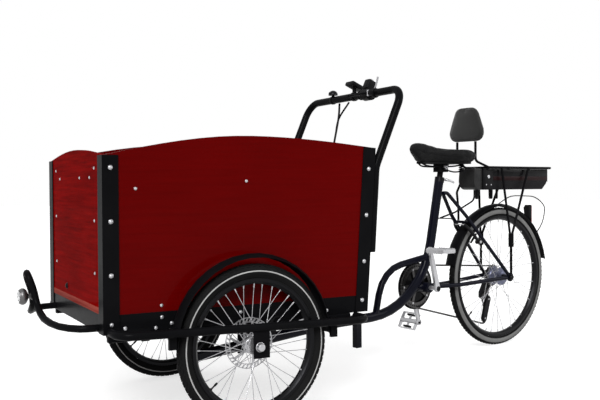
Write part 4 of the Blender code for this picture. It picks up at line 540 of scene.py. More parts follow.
def pathTree():
    # Copies of the shape at even steps along a closed path in the XZ plane
    tree, start, end = newTree("copiesAlongPath", ("Path", "Object"), ("Count", "Int"), ("Finish", "Material"))
    new = tree.nodes.new
    info, steps = new("GeometryNodeObjectInfo"), new("GeometryNodeResampleCurve")
    tangent, aim = new("GeometryNodeInputTangent"), new("FunctionNodeAlignRotationToVector")
    aim.axis, aim.pivot_axis = "X", "Y"
    copies = new("GeometryNodeInstanceOnPoints")
    wire(tree, (start, "Path", info, "Object"), (info, "Geometry", steps, "Curve"), (start, "Count", steps, "Count"),
         (tangent, "Tangent", aim, "Vector"), (steps, "Curve", copies, "Points"),
         (start, "Shape", copies, "Instance"), (aim, "Rotation", copies, "Rotation"))
    return endTree(tree, start, end, copies)


def studTree():
    # A stud on every point, facing along the point's own direction, at the point's own size
    tree, start, end = newTree("studsOnPoints", ("Stud", "Object"), ("Finish", "Material"))
    new = tree.nodes.new
    info, aim = new("GeometryNodeObjectInfo"), new("FunctionNodeAlignRotationToVector")
    facing, size = (new("GeometryNodeInputNamedAttribute") for _ in range(2))
    facing.data_type = "FLOAT_VECTOR"
    facing.inputs["Name"].default_value = "facing"
    size.inputs["Name"].default_value = "size"
    aim.axis = "Z"
    copies = new("GeometryNodeInstanceOnPoints")
    wire(tree, (start, "Stud", info, "Object"), (facing, "Attribute", aim, "Vector"),
         (start, "Shape", copies, "Points"), (info, "Geometry", copies, "Instance"),
         (aim, "Rotation", copies, "Rotation"), (size, "Attribute", copies, "Scale"))
    return endTree(tree, start, end, copies)


trees = {"ring": ringTree(), "path": pathTree(), "studs": studTree()}


def grow(tree, base, coat, **inputs):
    # Runs a tree on a base mesh and returns the result as a plain mesh
    holder = addItem("holder", base)
    maker = holder.modifiers.new("maker", "NODES")
    maker.node_group = tree
    inputs["Finish"] = finish[coat]
    for socket in tree.interface.items_tree:
        if socket.in_out == "INPUT" and socket.name in inputs:
            maker[socket.identifier] = inputs[socket.name]
    bpy.context.view_layer.update()
    graph = bpy.context.evaluated_depsgraph_get()
    mesh = bpy.data.meshes.new_from_object(holder.evaluated_get(graph), depsgraph=graph)
    holder.modifiers.remove(maker)
    bpy.data.objects.remove(holder, do_unlink=True)
    return mesh


def ring(form, shape, count, matrix, coat, start=0.0, paint=0):
    # Copies one shape round the local Y axis of a wheel and adds them to the form
    mesh = grow(trees["ring"], closeUp(shape, "shape"), coat, **{"Count": count, "Start Angle": start})
    mesh.transform(matrix)
    addMesh(form, mesh, paint)


still = Matrix.Identity(4)
upright = Matrix.Rotation(math.radians(90), 4, "X")     # turns the Y axis up


# Wheels: tyre, rim, hub with spokes and brake disc
tyreLook = {"pads": (((-9, 13), (0.04, 0.46)), ((-30, -13), (0.50, 0.94)), ((14, 30), (0.50, 0.94)),
                     ((-50, -36), (0.10, 0.52)), ((36, 50), (0.10, 0.52))),
            "depth": 0.0020, "pitch": 0.020}
frontWheel = {"width": 0.045, "height": 0.043, "flange": 0.030, "spread": 0.020, "barrel": 0.016, "rotor": 0.0345,
              "stripe": (83, 93), "coat": "line"}
rearWheel = {"width": 0.040, "height": 0.037, "flange": 0.042, "spread": 0.022, "barrel": 0.033, "rotor": 0,
             "stripe": (58, 118), "coat": "band"}
# Each wheel's dictionary, its body and the side of its rotor
wheels = {"front_wheel_left": (frontWheel, "left_front_wheel", -1),
          "front_wheel_right": (frontWheel, "right_front_wheel", 1), "rear_wheel": (rearWheel, "rear_wheel", 0)}
wheelLook = {"spokeRadius": 0.00115, "spokes": 18, "lacing": 60.0, "rimWidth": 0.030, "rimDepth": 0.019,
             "axle": 0.0068, "rotorRadius": 0.080, "rotorWall": 0.0020, "ringSteps": 120}


def crown(radius, half, angle, out=0.0):
    # A point (radius, along) on the round of the tyre, angle 0 outwards and 90 on the sidewall
    turn = math.radians(angle)
    return radius - half + (half + out) * math.cos(turn), (half + out) * math.sin(turn)


def makeTyre(label, spec, radius, matrix):
    half = spec["width"] / 2
    depth = tyreLook["depth"]
    bead = radius - spec["height"]
    start, end = spec["stripe"]
    sides = [60, 67, 74, start, end, 108, 118] if start > 74 else [start, 67, 78, 90, 102, 112, end]
    angles = [-a for a in sides[::-1]] + list(range(-49, 50, 7)) + sides
    profile = [crown(radius, half, a, -depth * (1 if abs(a) < 60 else 0.35)) for a in angles]
    paints = [1 if start < abs(a + b) / 2 < end else 0 for a, b in zip(angles, angles[1:])]
    foot = wheelLook["rimWidth"] / 2 - 0.0015
    profile += [(bead + 0.004, foot), (bead, foot - 0.001), (bead, -foot + 0.001), (bead + 0.004, -foot)]
    paints += [0] * 5
    form = bmesh.new()
    lathe(form, profile, wheelLook["ringSteps"], matrix, paints)
    count = round(2 * math.pi * radius / tyreLook["pitch"])
    step = 2 * math.pi / count
    pads = bmesh.new()
    for across, along in tyreLook["pads"]:
        corners = []
        for out, slim in ((-depth * 1.4, 0), (0, 1)):
            for a, t in ((across[0], along[0]), (across[1], along[0]), (across[1], along[1]), (across[0], along[1])):
                mid = sum(across) / 2
                r, y = crown(radius, half, a + (mid - a) * 0.08 * slim, out)
                turn = (t + (sum(along) / 2 - t) * 0.08 * slim) * step
                corners.append(pads.verts.new((r * math.cos(turn), y, r * math.sin(turn))))
        low, high = corners[:4], corners[4:]
        pads.faces.new(low[::-1])
        pads.faces.new(high)
        for k in range(4):
            pads.faces.new((low[k], low[(k + 1) % 4], high[(k + 1) % 4], high[k]))
    ring(form, pads, count, matrix, "rubber")
    place(label + "_tyre_dressed", form, spec["body"], "tyre_rubber", ("rubber", spec["coat"]), (label + "_tyre",),
          30)


def makeRim(label, spec, radius, matrix):
    bead = radius - spec["height"] - 0.0006
    half = wheelLook["rimWidth"] / 2
    deep = wheelLook["rimDepth"]
    profile = [(bead - 0.006, 0), (bead - 0.0055, half - 0.004), (bead, half - 0.0032),
               (bead + 0.0004, half - 0.0016), (bead - 0.0006, half - 0.0002), (bead - 0.0035, half),
               (bead - 0.010, half - 0.0002), (bead - 0.0115, half - 0.0012), (bead - deep * 0.80, half * 0.62),
               (bead - deep, half * 0.30)]
    profile += [(r, -y) for r, y in reversed(profile[1:])]
    form = bmesh.new()
    lathe(form, profile, wheelLook["ringSteps"], matrix)
    stem = bmesh.new()      # valve stem with its cap and ring nut
    tubeAlong(stem, [(bead - deep + 0.003, 0, 0), (bead - deep - 0.016, 0, 0), (bead - deep - 0.0165, 0, 0),
                     (bead - deep - 0.027, 0, 0)], (0.0026, 0.0026, 0.0038, 0.0034), 12, still)
    tubeAlong(stem, [(bead - deep + 0.0005, 0, 0), (bead - deep - 0.0025, 0, 0)], 0.0048, 6, still)
    ring(form, stem, 1, matrix, "alloy", start=0.7)
    place(label + "_rim_dressed", form, spec["body"], "black_alloy", ("alloy",), (label + "_rim",), 28)


def makeHub(label, spec, radius, matrix):
    inner = radius - spec["height"] - 0.0006 - wheelLook["rimDepth"]
    flange, spread, barrel = spec["flange"], spec["spread"], spec["barrel"]
    wire = wheelLook["spokeRadius"]
    pitch = 2 * math.pi / wheelLook["spokes"]
    hub = bmesh.new()
    bore = wheelLook["axle"] + 0.0012
    half = [(bore, spread + 0.0095), (barrel * 0.55, spread + 0.0095), (barrel * 0.62, spread + 0.0080),
            (barrel * 0.66, spread + 0.0045), (flange * 0.90, spread + 0.0026), (flange - 0.0006, spread + 0.0022),
            (flange, spread + 0.0012), (flange, spread - 0.0012), (flange - 0.0006, spread - 0.0022),
            (flange * 0.84, spread - 0.0028), (barrel + 0.003, spread - 0.0050), (barrel, spread - 0.0085),
            (barrel - 0.0006, 0.002)]
    lathe(hub, half + [(r, -y) for r, y in reversed(half)], 48, matrix, 0 if spec["rotor"] else 1)
    spokes = bmesh.new()
    nipples = bmesh.new()
    for side in (1, -1):
        for index in (0, 1):
            lead = 1 if index else -1
            root = index * pitch + (side > 0) * pitch / 2
            tip = root + lead * math.radians(wheelLook["lacing"])
            y = side * spread + lead * 0.0022
            hole = Vector(((flange - 0.0045) * math.cos(root), y, (flange - 0.0045) * math.sin(root)))
            rim = Vector((inner * math.cos(tip), side * 0.003 + lead * 0.0015, inner * math.sin(tip)))
            head = Vector((hole.x, side * spread - lead * 0.0036, hole.z))
            run = (hole - rim).normalized()
            tubeAlong(spokes, [head, hole - Vector((0, lead * 0.0012, 0)), hole - run * 0.0016, rim - run * 0.004],
                      wire, 6, still)
            tubeAlong(nipples, [rim - run * 0.002, rim + run * 0.004, rim + run * 0.0105, rim + run * 0.0125],
                      (0.0024, 0.0022, 0.0020, 0.0013), 8, still)
            tubeAlong(spokes, [head, head - Vector((0, lead * 0.0010, 0))], wire * 1.9, 8, still)
    ring(hub, spokes, wheelLook["spokes"] // 2, matrix, "silver")
    ring(hub, nipples, wheelLook["spokes"] // 2, matrix, "silver")
    if spec["rotor"]:
        big, wall, at = wheelLook["rotorRadius"], wheelLook["rotorWall"], spec["rotor"]
        near, far = at - wall / 2, at + wall / 2
        for low, high in ((big * 0.80, big * 0.835), (big * 0.965, big)):
            lathe(hub, [(low, near), (high, near), (high, far), (low, far)], 72, matrix)
        lathe(hub, [(bore, near), (big * 0.30, near), (big * 0.30, far), (bore, far)], 36, matrix)
        webs = bmesh.new()
        for shift in (0.0, 0.5):
            base = shift * 2 * math.pi / 18
            spots = [(r * math.cos(base + lean), r * math.sin(base + lean)) for r,
                     lean in ((big * 0.825, 0.00), (big * 0.975, 0.09), (big * 0.975, 0.16), (big * 0.825, 0.07))]
            slab(webs, spots, near, far, still)
        ring(hub, webs, 18, matrix, "silver")
        arms = bmesh.new()
        slab(arms, [(big * 0.26, -0.0075), (big * 0.55, 0.004), (big * 0.82, 0.018), (big * 0.82, 0.027),
                    (big * 0.52, 0.012), (big * 0.26, 0.0025)], near, far, still)
        ring(hub, arms, 6, matrix, "silver")
        bolts = bmesh.new()
        side = math.copysign(1, at)
        tubeAlong(bolts, [(big * 0.245, at - side * 0.012, 0), (big * 0.245, at + side * 0.0024, 0),
                          (big * 0.245, at + side * 0.0032, 0)], (0.0034, 0.0034, 0.0024), 10, still)
        ring(hub, bolts, 6, matrix, "silver", start=0.2)
        low, high = sorted((near, math.copysign(spread, at)))
        lathe(hub, [(bore, low), (0.0135, low), (0.0135, high), (bore, high)], 32, matrix)
    place(label + "_hub_dressed", hub, spec["body"], "silver_metal", ("silver", "hubMetal"),
          (label + "_hub_and_spokes",), 35)


for label, (kind, body, side) in wheels.items():
    spec = dict(kind, body=body, rotor=kind["rotor"] * side)
    joint = joints[body + "_spin"]
    centre, axis = Vector(joint["pos_m"]), joint["axis"]
    matrix = Matrix.Translation(centre) @ Matrix.Rotation(math.atan2(-axis[0], axis[1]), 4, "Z")
    makeTyre(label, spec, centre.z, matrix)
    makeRim(label, spec, centre.z, matrix)
    makeHub(label, spec, centre.z, matrix)
print("wheels dressed")


# Handlebar, as a bent tube with (forward, up) places
handlebar = {"radius": 0.0140, "foot": (-0.4767, 0.510), "knee": (-0.4955, 0.797), "topBack": 0.613, "top": 1.072,
             "half": 0.324, "kneeBend": 0.090, "cornerBend": 0.060}


def makeHandlebar():
    h = handlebar
    left = [(h["foot"][0], h["half"], h["foot"][1]), (h["knee"][0], h["half"], h["knee"][1]),
            (-h["topBack"], h["half"], h["top"])]
    corners = left + [(x, -y, z) for x, y, z in reversed(left)]
    path = bentPath(corners, (h["kneeBend"], h["cornerBend"], h["cornerBend"], h["kneeBend"]), math.radians(6))
    form = bmesh.new()
    tubeAlong(form, path, h["radius"], 28, frontGrid)
    for end in (path[0], path[-1]):     # plastic plugs in the open ends
        tubeAlong(form, [end + Vector((0, 0, 0.001)), end - Vector((0, 0, 0.0015))], h["radius"] * 0.97, 28,
                  frontGrid, paint=1)
    place("handlebar_dressed", form, "front_module", "black_paint", ("paint", "plastic"), ("handlebar",), 40)


makeHandlebar()


# Controls on the bar
controls = {"bellSide": -0.145, "bellRadius": 0.0185, "displaySide": 0.010, "displaySize": (0.060, 0.054, 0.016),
            "leverSide": 0.105, "leverReach": 0.046, "leverLength": 0.108, "tilt": 24.0}


def clampRing(form, y, width, wall, matrix, paint=0):
    gap = handlebar["radius"] + 0.0002
    half = width / 2
    lathe(form, [(gap, -half), (gap + wall - 0.0006, -half), (gap + wall, -half + 0.0006),
                 (gap + wall, half - 0.0006), (gap + wall - 0.0006, half), (gap, half)], 32,
          matrix @ Matrix.Translation((0, y, 0)), paint)


def makeControls():
    c = controls
    bar = frontGrid @ Matrix.Translation((-handlebar["topBack"], 0, handlebar["top"]))
    stand = handlebar["radius"] + 0.003
    # Bell: strap, post, domed shell with a rolled lip, striker
    form = bmesh.new()
    clampRing(form, c["bellSide"], 0.011, 0.0022, bar, 1)
    at = bar @ Matrix.Translation((0, c["bellSide"], stand)) @ upright
    r = c["bellRadius"]
    dome = [(0, r * 1.18)] + [(r * math.sin(a), 0.005 + r * 0.92 * math.cos(a))
                              for a in (math.radians(8 + 9 * k) for k in range(10))]
    dome += [(r, 0.0045), (r * 1.03, 0.0040), (r * 1.03, 0.0030), (r * 0.97, 0.0030), (r * 0.93, 0.005), (0, 0.005)]
    lathe(form, dome, 40, at)
    lathe(form, [(0, 0.006), (0.005, 0.006), (0.006, -0.002), (0, -0.002)], 20, at, 1)
    tubeAlong(form, [(0.012, c["bellSide"], stand + 0.004), (0.024, c["bellSide"] + 0.008, stand + 0.006),
                     (0.0265, c["bellSide"] + 0.016, stand + 0.010)], (0.0018, 0.0018, 0.0030), 10, bar, paint=1)
    place("bell_dressed", form, "front_module", "silver_metal", ("alloy", "plastic"), ("bell",))
    # Display: strap, post, tilted case with a dark window and three blank keys
    form = bmesh.new()
    clampRing(form, c["displaySide"], 0.014, 0.0030, bar)
    post = bar @ Matrix.Translation((0, c["displaySide"], stand))
    tubeAlong(form, [(0, 0, -0.002), (0, 0, 0.016)], 0.0075, 20, post)
    deep, wide, thick = c["displaySize"]
    face = post @ Matrix.Translation((0, 0, 0.0145)) @ Matrix.Rotation(-math.radians(c["tilt"]), 4, "Y")
    brick(form, (-deep / 2, -wide / 2, 0), (deep / 2, wide / 2, thick), face, 0.0045, 0, 3)
    brick(form, (-deep * 0.20, -wide * 0.40, thick - 0.001), (deep * 0.42, wide * 0.40, thick + 0.0006), face,
          0.0006, 1)
    for k in range(3):
        y = (k - 1) * wide * 0.27
        brick(form, (-deep * 0.42, y - 0.0045, thick - 0.001), (-deep * 0.28, y + 0.0045, thick + 0.0012), face,
              0.0010, 0)
    place("display_dressed", form, "front_module", "black_plastic", ("plastic", "glossPlastic"), ("display_unit",))
    # Brake lever with its perch, gear shifter drum and stalk
    form = bmesh.new()
    side, long = c["leverSide"], c["leverLength"]
    clampRing(form, side, long * 0.98, 0.0026, bar)             # sleeve under both clamps
    clampRing(form, side, long * 0.36, 0.0095, bar)             # shifter drum
    for shift in (-0.42, -0.30, 0.30, 0.42):
        clampRing(form, side + long * shift, 0.006, 0.0040, bar)
    cover = bar @ Matrix.Translation((0, side, stand)) @ Matrix.Rotation(-math.radians(c["tilt"]), 4, "Y")
    brick(form, (-0.018, -long * 0.16, -0.004), (0.020, long * 0.16, 0.036), cover, 0.0075, 0, 3)
    brick(form, (-0.014, -long * 0.13, 0.030), (0.012, long * 0.13, 0.0385), cover, 0.0035, 1, 2)
    perch = side + long * 0.40
    brick(form, (0.004, perch - 0.010, -0.010), (c["leverReach"] * 0.72, perch + 0.010, 0.008), bar, 0.0035)
    tubeAlong(form, [(0.030, perch, -0.012), (0.030, perch, 0.010)], 0.0042, 14, bar, paint=1)
    blade = smoothPath([(0.026, perch, -0.001), (c["leverReach"] * 0.86, perch - 0.018, -0.002),
                        (c["leverReach"] * 0.90, perch - 0.050, -0.002),
                        (c["leverReach"] * 0.88, perch - 0.082, -0.002),
                        (c["leverReach"] * 0.96, perch - long, -0.002)], 6)
    tubeAlong(form, blade, [0.0058 - 0.0018 * k / (len(blade) - 1) for k in range(len(blade) - 1)] + [0.0052], 12,
              bar, paint=2)
    tubeAlong(form, [(0.0, perch, stand - 0.001), (-0.001, perch + 0.008, stand + 0.012),
                     (-0.002, perch + 0.018, stand + 0.040)], (0.0036, 0.0032, 0.0040), 12, bar, paint=1)
    place("brake_lever_dressed", form, "front_module", "black_plastic", ("plastic", "silver", "paint"),
          ("brake_lever",), 32)


makeControls()
print("handlebar and controls made")


# Soft seat and backrest; the tables give a share of the height or width along the length
soft = {"voxel": 0.005, "frames": 20, "saddleCap": 0.0045, "padCap": 0.0060,
        "cloth": {"quality": 6, "mass": 0.3, "tension_stiffness": 12, "compression_stiffness": 12,
                  "bending_stiffness": 0.6, "use_pressure": True, "uniform_pressure_force": 4.0}}
saddle = {"nose": -1.086, "length": 0.310, "half": 0.1225, "foot": 0.825, "high": 0.089,
          "upper": ((0.0, 0.72), (0.02, 0.87), (0.06, 0.95), (0.12, 0.97), (0.20, 0.94), (0.32, 0.84), (0.45, 0.73),
                    (0.60, 0.67), (0.80, 0.66), (0.94, 0.68), (0.99, 0.64), (1.0, 0.55)),
          "lower": ((0.0, 0.58), (0.03, 0.46), (0.08, 0.34), (0.13, 0.12), (0.20, 0.03), (0.60, 0.02), (0.92, 0.03),
                    (0.97, 0.08), (1.0, 0.22)),
          "wide": ((0.0, 0.08), (0.02, 0.14), (0.05, 0.19), (0.10, 0.215), (0.30, 0.30), (0.42, 0.41), (0.54, 0.68),
                   (0.66, 0.90), (0.80, 0.975), (0.90, 0.93), (0.96, 0.82), (1.0, 0.66))}
backrest = {"back": -1.430, "low": 0.924, "high": 0.155, "topHalf": 0.0690, "lowHalf": 0.1000,
            "faces": ((0.02, 0.0150), (0.30, 0.0145), (0.60, 0.0130), (0.82, 0.0105), (0.93, 0.0070), (0.985, 0.0020),
                      (1.0, -0.0030), (0.975, -0.0085), (0.90, -0.0115), (0.60, -0.0120), (0.02, -0.0120))}


def along(table, u):
    for (a, low), (b, high) in zip(table, table[1:]):
        if u <= b:
            share = (u - a) / (b - a)
            return low + (high - low) * share * share * (3 - 2 * share)
    return table[-1][1]


def loft(form, rings, matrix):
    # Skins rings of equal counts, closing both ends
    made = [[form.verts.new(matrix @ Vector(p)) for p in points] for points in rings]
    count = len(made[0])
    for near, far in zip(made, made[1:]):
        for k in range(count):
            form.faces.new((near[k], near[(k + 1) % count], far[(k + 1) % count], far[k]))
    form.faces.new(made[0][::-1])
    form.faces.new(made[-1])


def settled(item):
    # The item's mesh with its modifiers applied
    bpy.context.view_layer.update()
    return bpy.data.meshes.new_from_object(item.evaluated_get(bpy.context.evaluated_depsgraph_get()))


def puff(name, form, cap, held):
    # Fills a closed soft form with a little pressure, keeping the held side where it is
    core = addItem(name + "Core", closeUp(form, name + "Core"))
    grid = core.modifiers.new("grid", "REMESH")
    grid.mode = "VOXEL"
    grid.voxel_size = soft["voxel"]
    mesh = settled(core)
    bpy.data.objects.remove(core, do_unlink=True)
    body = addItem(name + "Body", mesh)
    start = [v.co.copy() for v in mesh.vertices]
    pins = body.vertex_groups.new(name="held")
    pins.add([v.index for v in mesh.vertices if held(v.co)], 1.0, "REPLACE")
    cloth = body.modifiers.new("cloth", "CLOTH")
    for key, value in soft["cloth"].items():
        setattr(cloth.settings, key, value)
    cloth.settings.vertex_group_mass = "held"
    cloth.settings.effector_weights.gravity = 0
    cloth.collision_settings.use_collision = False
    cloth.point_cache.frame_start = 1
    cloth.point_cache.frame_end = soft["frames"]
    for tick in range(1, soft["frames"] + 1):
        scene.frame_set(tick)
    moved = body.evaluated_get(bpy.context.evaluated_depsgraph_get()).to_mesh()
    ends = [v.co.copy() for v in moved.vertices]
    body.modifiers.remove(cloth)
    scene.frame_set(1)
    for vert, here, there in zip(mesh.vertices, start, ends):
        step = there - here
        vert.co = here + (step * (cap / step.length) if step.length > cap else step)
    for _ in range(2):      # relax the stair steps of the grid
        form = bmesh.new()
        form.from_mesh(mesh)
        bmesh.ops.smooth_vert(form, verts=form.verts, factor=0.5, use_axis_x=True, use_axis_y=True, use_axis_z=True)
        form.to_mesh(mesh)
        form.free()
    finer = body.modifiers.new("finer", "SUBSURF")
    finer.levels = finer.render_levels = 1
    result = settled(body)
    bpy.data.objects.remove(body, do_unlink=True)
    return result


def onSurface(mesh, points, lift):
    # The nearest places on a mesh to rough points, raised a little off it
    tree = BVHTree.FromPolygons([v.co for v in mesh.vertices], [p.vertices for p in mesh.polygons])
    found = []
    for p in points:
        spot, normal = tree.find_nearest(p)[:2]
        found.append(spot + normal * lift)
    for _ in range(2):
        found = [found[0]] + [(a + b * 2 + c) / 4 for a, b, c in zip(found, found[1:], found[2:])] + [found[-1]]
    return found


def stitched(form, points, radius, gap, length, paint):
    # Short thread stitches laid end to end along a path
    run = 0.0
    for a, b in zip(points, points[1:]):
        step = (b - a).length
        if step > 1e-6:
            way = (b - a) / step
            while run < step:
                spot = a + way * run
                tubeAlong(form, [spot - way * length / 2, spot, spot + way * length / 2],
                          (radius * 0.5, radius, radius * 0.5), 5, still, paint=paint)
                run += gap
            run -= step


def saddleCut(u):
    # Underside, top and half width of the saddle at a share of its length
    low, top = (saddle["foot"] + saddle["high"] * along(saddle[key], u) for key in ("lower", "upper"))
    return low, top, saddle["half"] * along(saddle["wide"], u)


def makeSaddle():
    s = saddle
    rings = []
    steps = 30
    for k in range(steps + 1):
        u = k / steps
        low, top, wide = saddleCut(u)
        middle = low + (top - low) * 0.52
        x = s["nose"] - s["length"] * (0.004 + 0.992 * u)
        points = []
        for j in range(32):
            t = 2 * math.pi * j / 32
            c, w = math.cos(t), math.sin(t)
            y = wide * math.copysign(abs(c) ** 0.70, c) * (1.0 if w >= 0 else 0.93)
            z = middle + (top - middle) * abs(w) ** 0.72 if w >= 0 else middle - (middle - low) * abs(w) ** 0.55
            points.append((x, y, z))
        rings.append(points)
    form = bmesh.new()
    loft(form, rings, rearGrid)
    keep = s["foot"] + s["high"] * 0.16
    mesh = puff("saddle", form, soft["saddleCap"], lambda co: co.z < keep)
    form = bmesh.new()
    for side in (1, -1):
        rough = []
        for k in range(46):
            u = 0.015 + 0.95 * k / 45
            low, top, wide = saddleCut(u)
            at = (s["nose"] - s["length"] * u, side * wide * 1.05, low + (top - low) * 0.56)
            rough.append(rearGrid @ Vector(at))
        seam = onSurface(mesh, rough, 0.0)
        tubeAlong(form, seam, 0.0014, 8, still)
        thread = onSurface(mesh, [p + Vector((0, 0, 0.005)) for p in seam], 0.0002)
        stitched(form, thread, 0.0006, 0.0042, 0.0030, 1)
    # Plastic tray below the cover
    tray = [(s["nose"] - s["length"] * u, saddleCut(u)[2] * 0.72) for u in
            (0.18, 0.24, 0.32, 0.44, 0.56, 0.68, 0.80, 0.90, 0.94)]
    outline = tray + [(x, -y) for x, y in reversed(tray)]
    flat = rearGrid @ Matrix.Translation((0, 0, s["foot"] + 0.004)) @ upright
    slab(form, outline, -0.004, 0.005, flat, 0.002, 2)
    addMesh(form, mesh)
    item = place("saddle_dressed", form, "rear_frame", "saddle_cover", ("vinyl", "plastic", "plastic"), ("saddle",),
                 60)


def padOutline(scale):
    b = backrest
    bend = b["high"] * 0.26
    lean = math.atan2(b["lowHalf"] - b["topHalf"], b["high"] - 2 * bend)
    right = (arc((b["lowHalf"] - bend, bend), bend, -math.pi / 2, lean, 10)
             + arc((b["topHalf"] - bend * 0.98, b["high"] - bend * 1.05), bend * 1.05, lean, math.pi / 2, 9))
    outline = right + [(-y, z) for y, z in reversed(right)]
    middle = b["high"] * 0.46
    return [(y * scale, middle + (z - middle) * scale) for y, z in outline]


def makeBackrest():
    b = backrest
    rings = [[(b["back"] + x, y, b["low"] + z) for y, z in padOutline(scale * 0.985)] for scale, x in b["faces"]]
    form = bmesh.new()
    loft(form, rings, rearGrid)
    wall = (rearGrid @ Vector((b["back"] - 0.006, 0, 0))).x
    mesh = puff("backrest", form, soft["padCap"], lambda co: co.x < wall)
    form = bmesh.new()
    rim = [rearGrid @ Vector((b["back"] + 0.006, y, b["low"] + z)) for y, z in padOutline(0.995)]
    seam = onSurface(mesh, rim + rim[:1], 0.0)[:-1]
    tubeAlong(form, seam, 0.0015, 8, still, closed=True)
    inner = [rearGrid @ Vector((b["back"] + 0.020, y, b["low"] + z)) for y, z in padOutline(0.88)]
    thread = onSurface(mesh, inner + inner[:1], 0.0002)
    stitched(form, thread, 0.0006, 0.0045, 0.0032, 1)
    shell = [(y * 0.90, b["low"] + b["high"] * 0.46 + (z - b["high"] * 0.46) * 0.90) for y, z in padOutline(1.0)]
    back = rearGrid @ Matrix.Translation((b["back"], 0, 0)) @ Matrix.Rotation(math.radians(90), 4, "Z")
    slab(form, shell, 0.0085, 0.0145, back, 0.0025, 1)
    addMesh(form, mesh)
    item = place("backrest_dressed", form, "rear_frame", "saddle_cover", ("pad", "plastic"), ("backrest_pad",), 60)


makeSaddle()
makeBackrest()
print("saddle and backrest made")


# Lights, battery and controller case
headlight = {"height": 0.395, "back": 0.58344, "foot": 0.59154, "stemRadius": 0.0078, "length": 0.0340,
             "radius": 0.0262, "eye": 0.76, "lip": 0.62, "lensOut": 0.36, "lensIn": 0.24,
             "bulb": (0.0035, 0.007, 0.015, 0.0165)}
tailLight = {"slope": 0.894, "knee": 0.375, "cap": 0.0015, "round": 0.011, "edge": 0.0075, "lensRound": 0.006,
             "inset": 0.0035, "lensEdge": 0.0006}
battery = {"edge": 0.0060, "seam": 0.0014, "back": 0.004, "lockEnd": 0.062, "lockEdge": 0.005,
           "tail": ((0, 0.42), (0.20, 0.34), (0.42, 0)), "bands": ((0.66, 0.985, 0.0004, 1, 0.0030),
                                                                   (0.43, 0.640, 0.0002, 3, 0.0030),
                                                                   (0.385, 0.412, 0.0, 0, 0.0008)), "ribs": 6,
           "ribHalf": 0.020, "ribHigh": 0.016, "ribEdge": 0.0055, "ribsFrom": 0.030, "ribsLeave": 0.085,
           "locks": ((0.030, 0.62, 0.0075), (0.014, 0.24, 0.0030), (0.046, 0.24, 0.0030)),
           "bearers": ((0.013, 0.008), (0.108, 0.010), (0.150, 0.006)), "bearerDrop": (-0.002, 0.038, 0.042)}
controller = {"nose": 0.040, "corner": 0.004, "edge": 0.0075, "knobAt": (0.002, 0.020, -0.002),
              "knob": ((0, 0.0085), (0.0060, 0.0078), (0.0092, 0.0050), (0.0105, 0.0), (0, 0.0))}


def makeHeadlight():
    # A round pot on a short stem, its lens bulging forward
    h = headlight
    r, back, half = h["radius"], h["foot"], h["length"] / 2
    middle, eye = back + half, r * h["eye"]
    lip = middle + half * h["lip"]
    stem = h["stemRadius"]
    shell = [(0, h["back"]), (stem, h["back"]), (stem, back + 0.0006)]
    shell += [(r * math.sin(a), middle - half * math.cos(a)) for a in (math.radians(22 + 10 * k) for k in range(11))]
    shell += [(eye + 0.0010, lip + 0.0012), (eye, lip + 0.0008), (eye, lip - 0.003), (r * 0.30, back + 0.008),
              (0, back + 0.008)]
    turns = [math.radians(9 * k) for k in range(11)]
    lens = [(eye * math.sin(a), lip + half * h["lensOut"] * math.cos(a)) for a in turns]
    lens += [((eye - 0.002) * math.sin(a), lip + half * h["lensIn"] * math.cos(a) - 0.001) for a in reversed(turns)]
    wide, low, high, tip = h["bulb"]
    ahead = frontGrid @ Matrix.Translation((0, 0, h["height"])) @ Matrix.Rotation(math.radians(-90), 4, "Z")
    form = bmesh.new()
    lathe(form, shell, 48, ahead, [0] * (len(shell) - 4) + [1] * 3)
    lathe(form, lens, 48, ahead, 2)
    lathe(form, [(0, back + low), (wide, back + low), (wide, back + high), (0, back + tip)], 16, ahead, 3)
    place("headlight_dressed", form, "front_module", "black_plastic", ("lampShell", "silver", "glass", "line"),
          ("headlight",), 40)


def makeTailLight():
    t = tailLight
    low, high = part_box("tail_light")
    slope = (high[0] - low[0]) * t["slope"]
    split, knee = low[0] + t["cap"], low[2] + slope * t["knee"]
    r, small = t["round"], t["lensRound"]
    form = bmesh.new()
    body = ([(split, knee), (high[0], low[2] + slope)]
            + arc((high[0] - r, high[2] - r), r, 0, math.pi / 2, 5) + [(split, high[2])])
    slab(form, body, low[1], high[1], still, t["edge"], 0, 4)
    lens = [(low[0], low[2] + 0.002), (split + 0.001, knee + 0.002), (split + 0.001, high[2] - t["cap"])]
    lens += arc((low[0] + small, high[2] - t["cap"] - small), small, math.pi / 2, math.pi, 5)
    slab(form, lens, low[1] + t["inset"], high[1] - t["inset"], still, t["lensEdge"], 1, 1)
    place("tail_light_dressed", form, "rear_frame", "red_lens", ("plastic", "lens"), ("tail_light",))


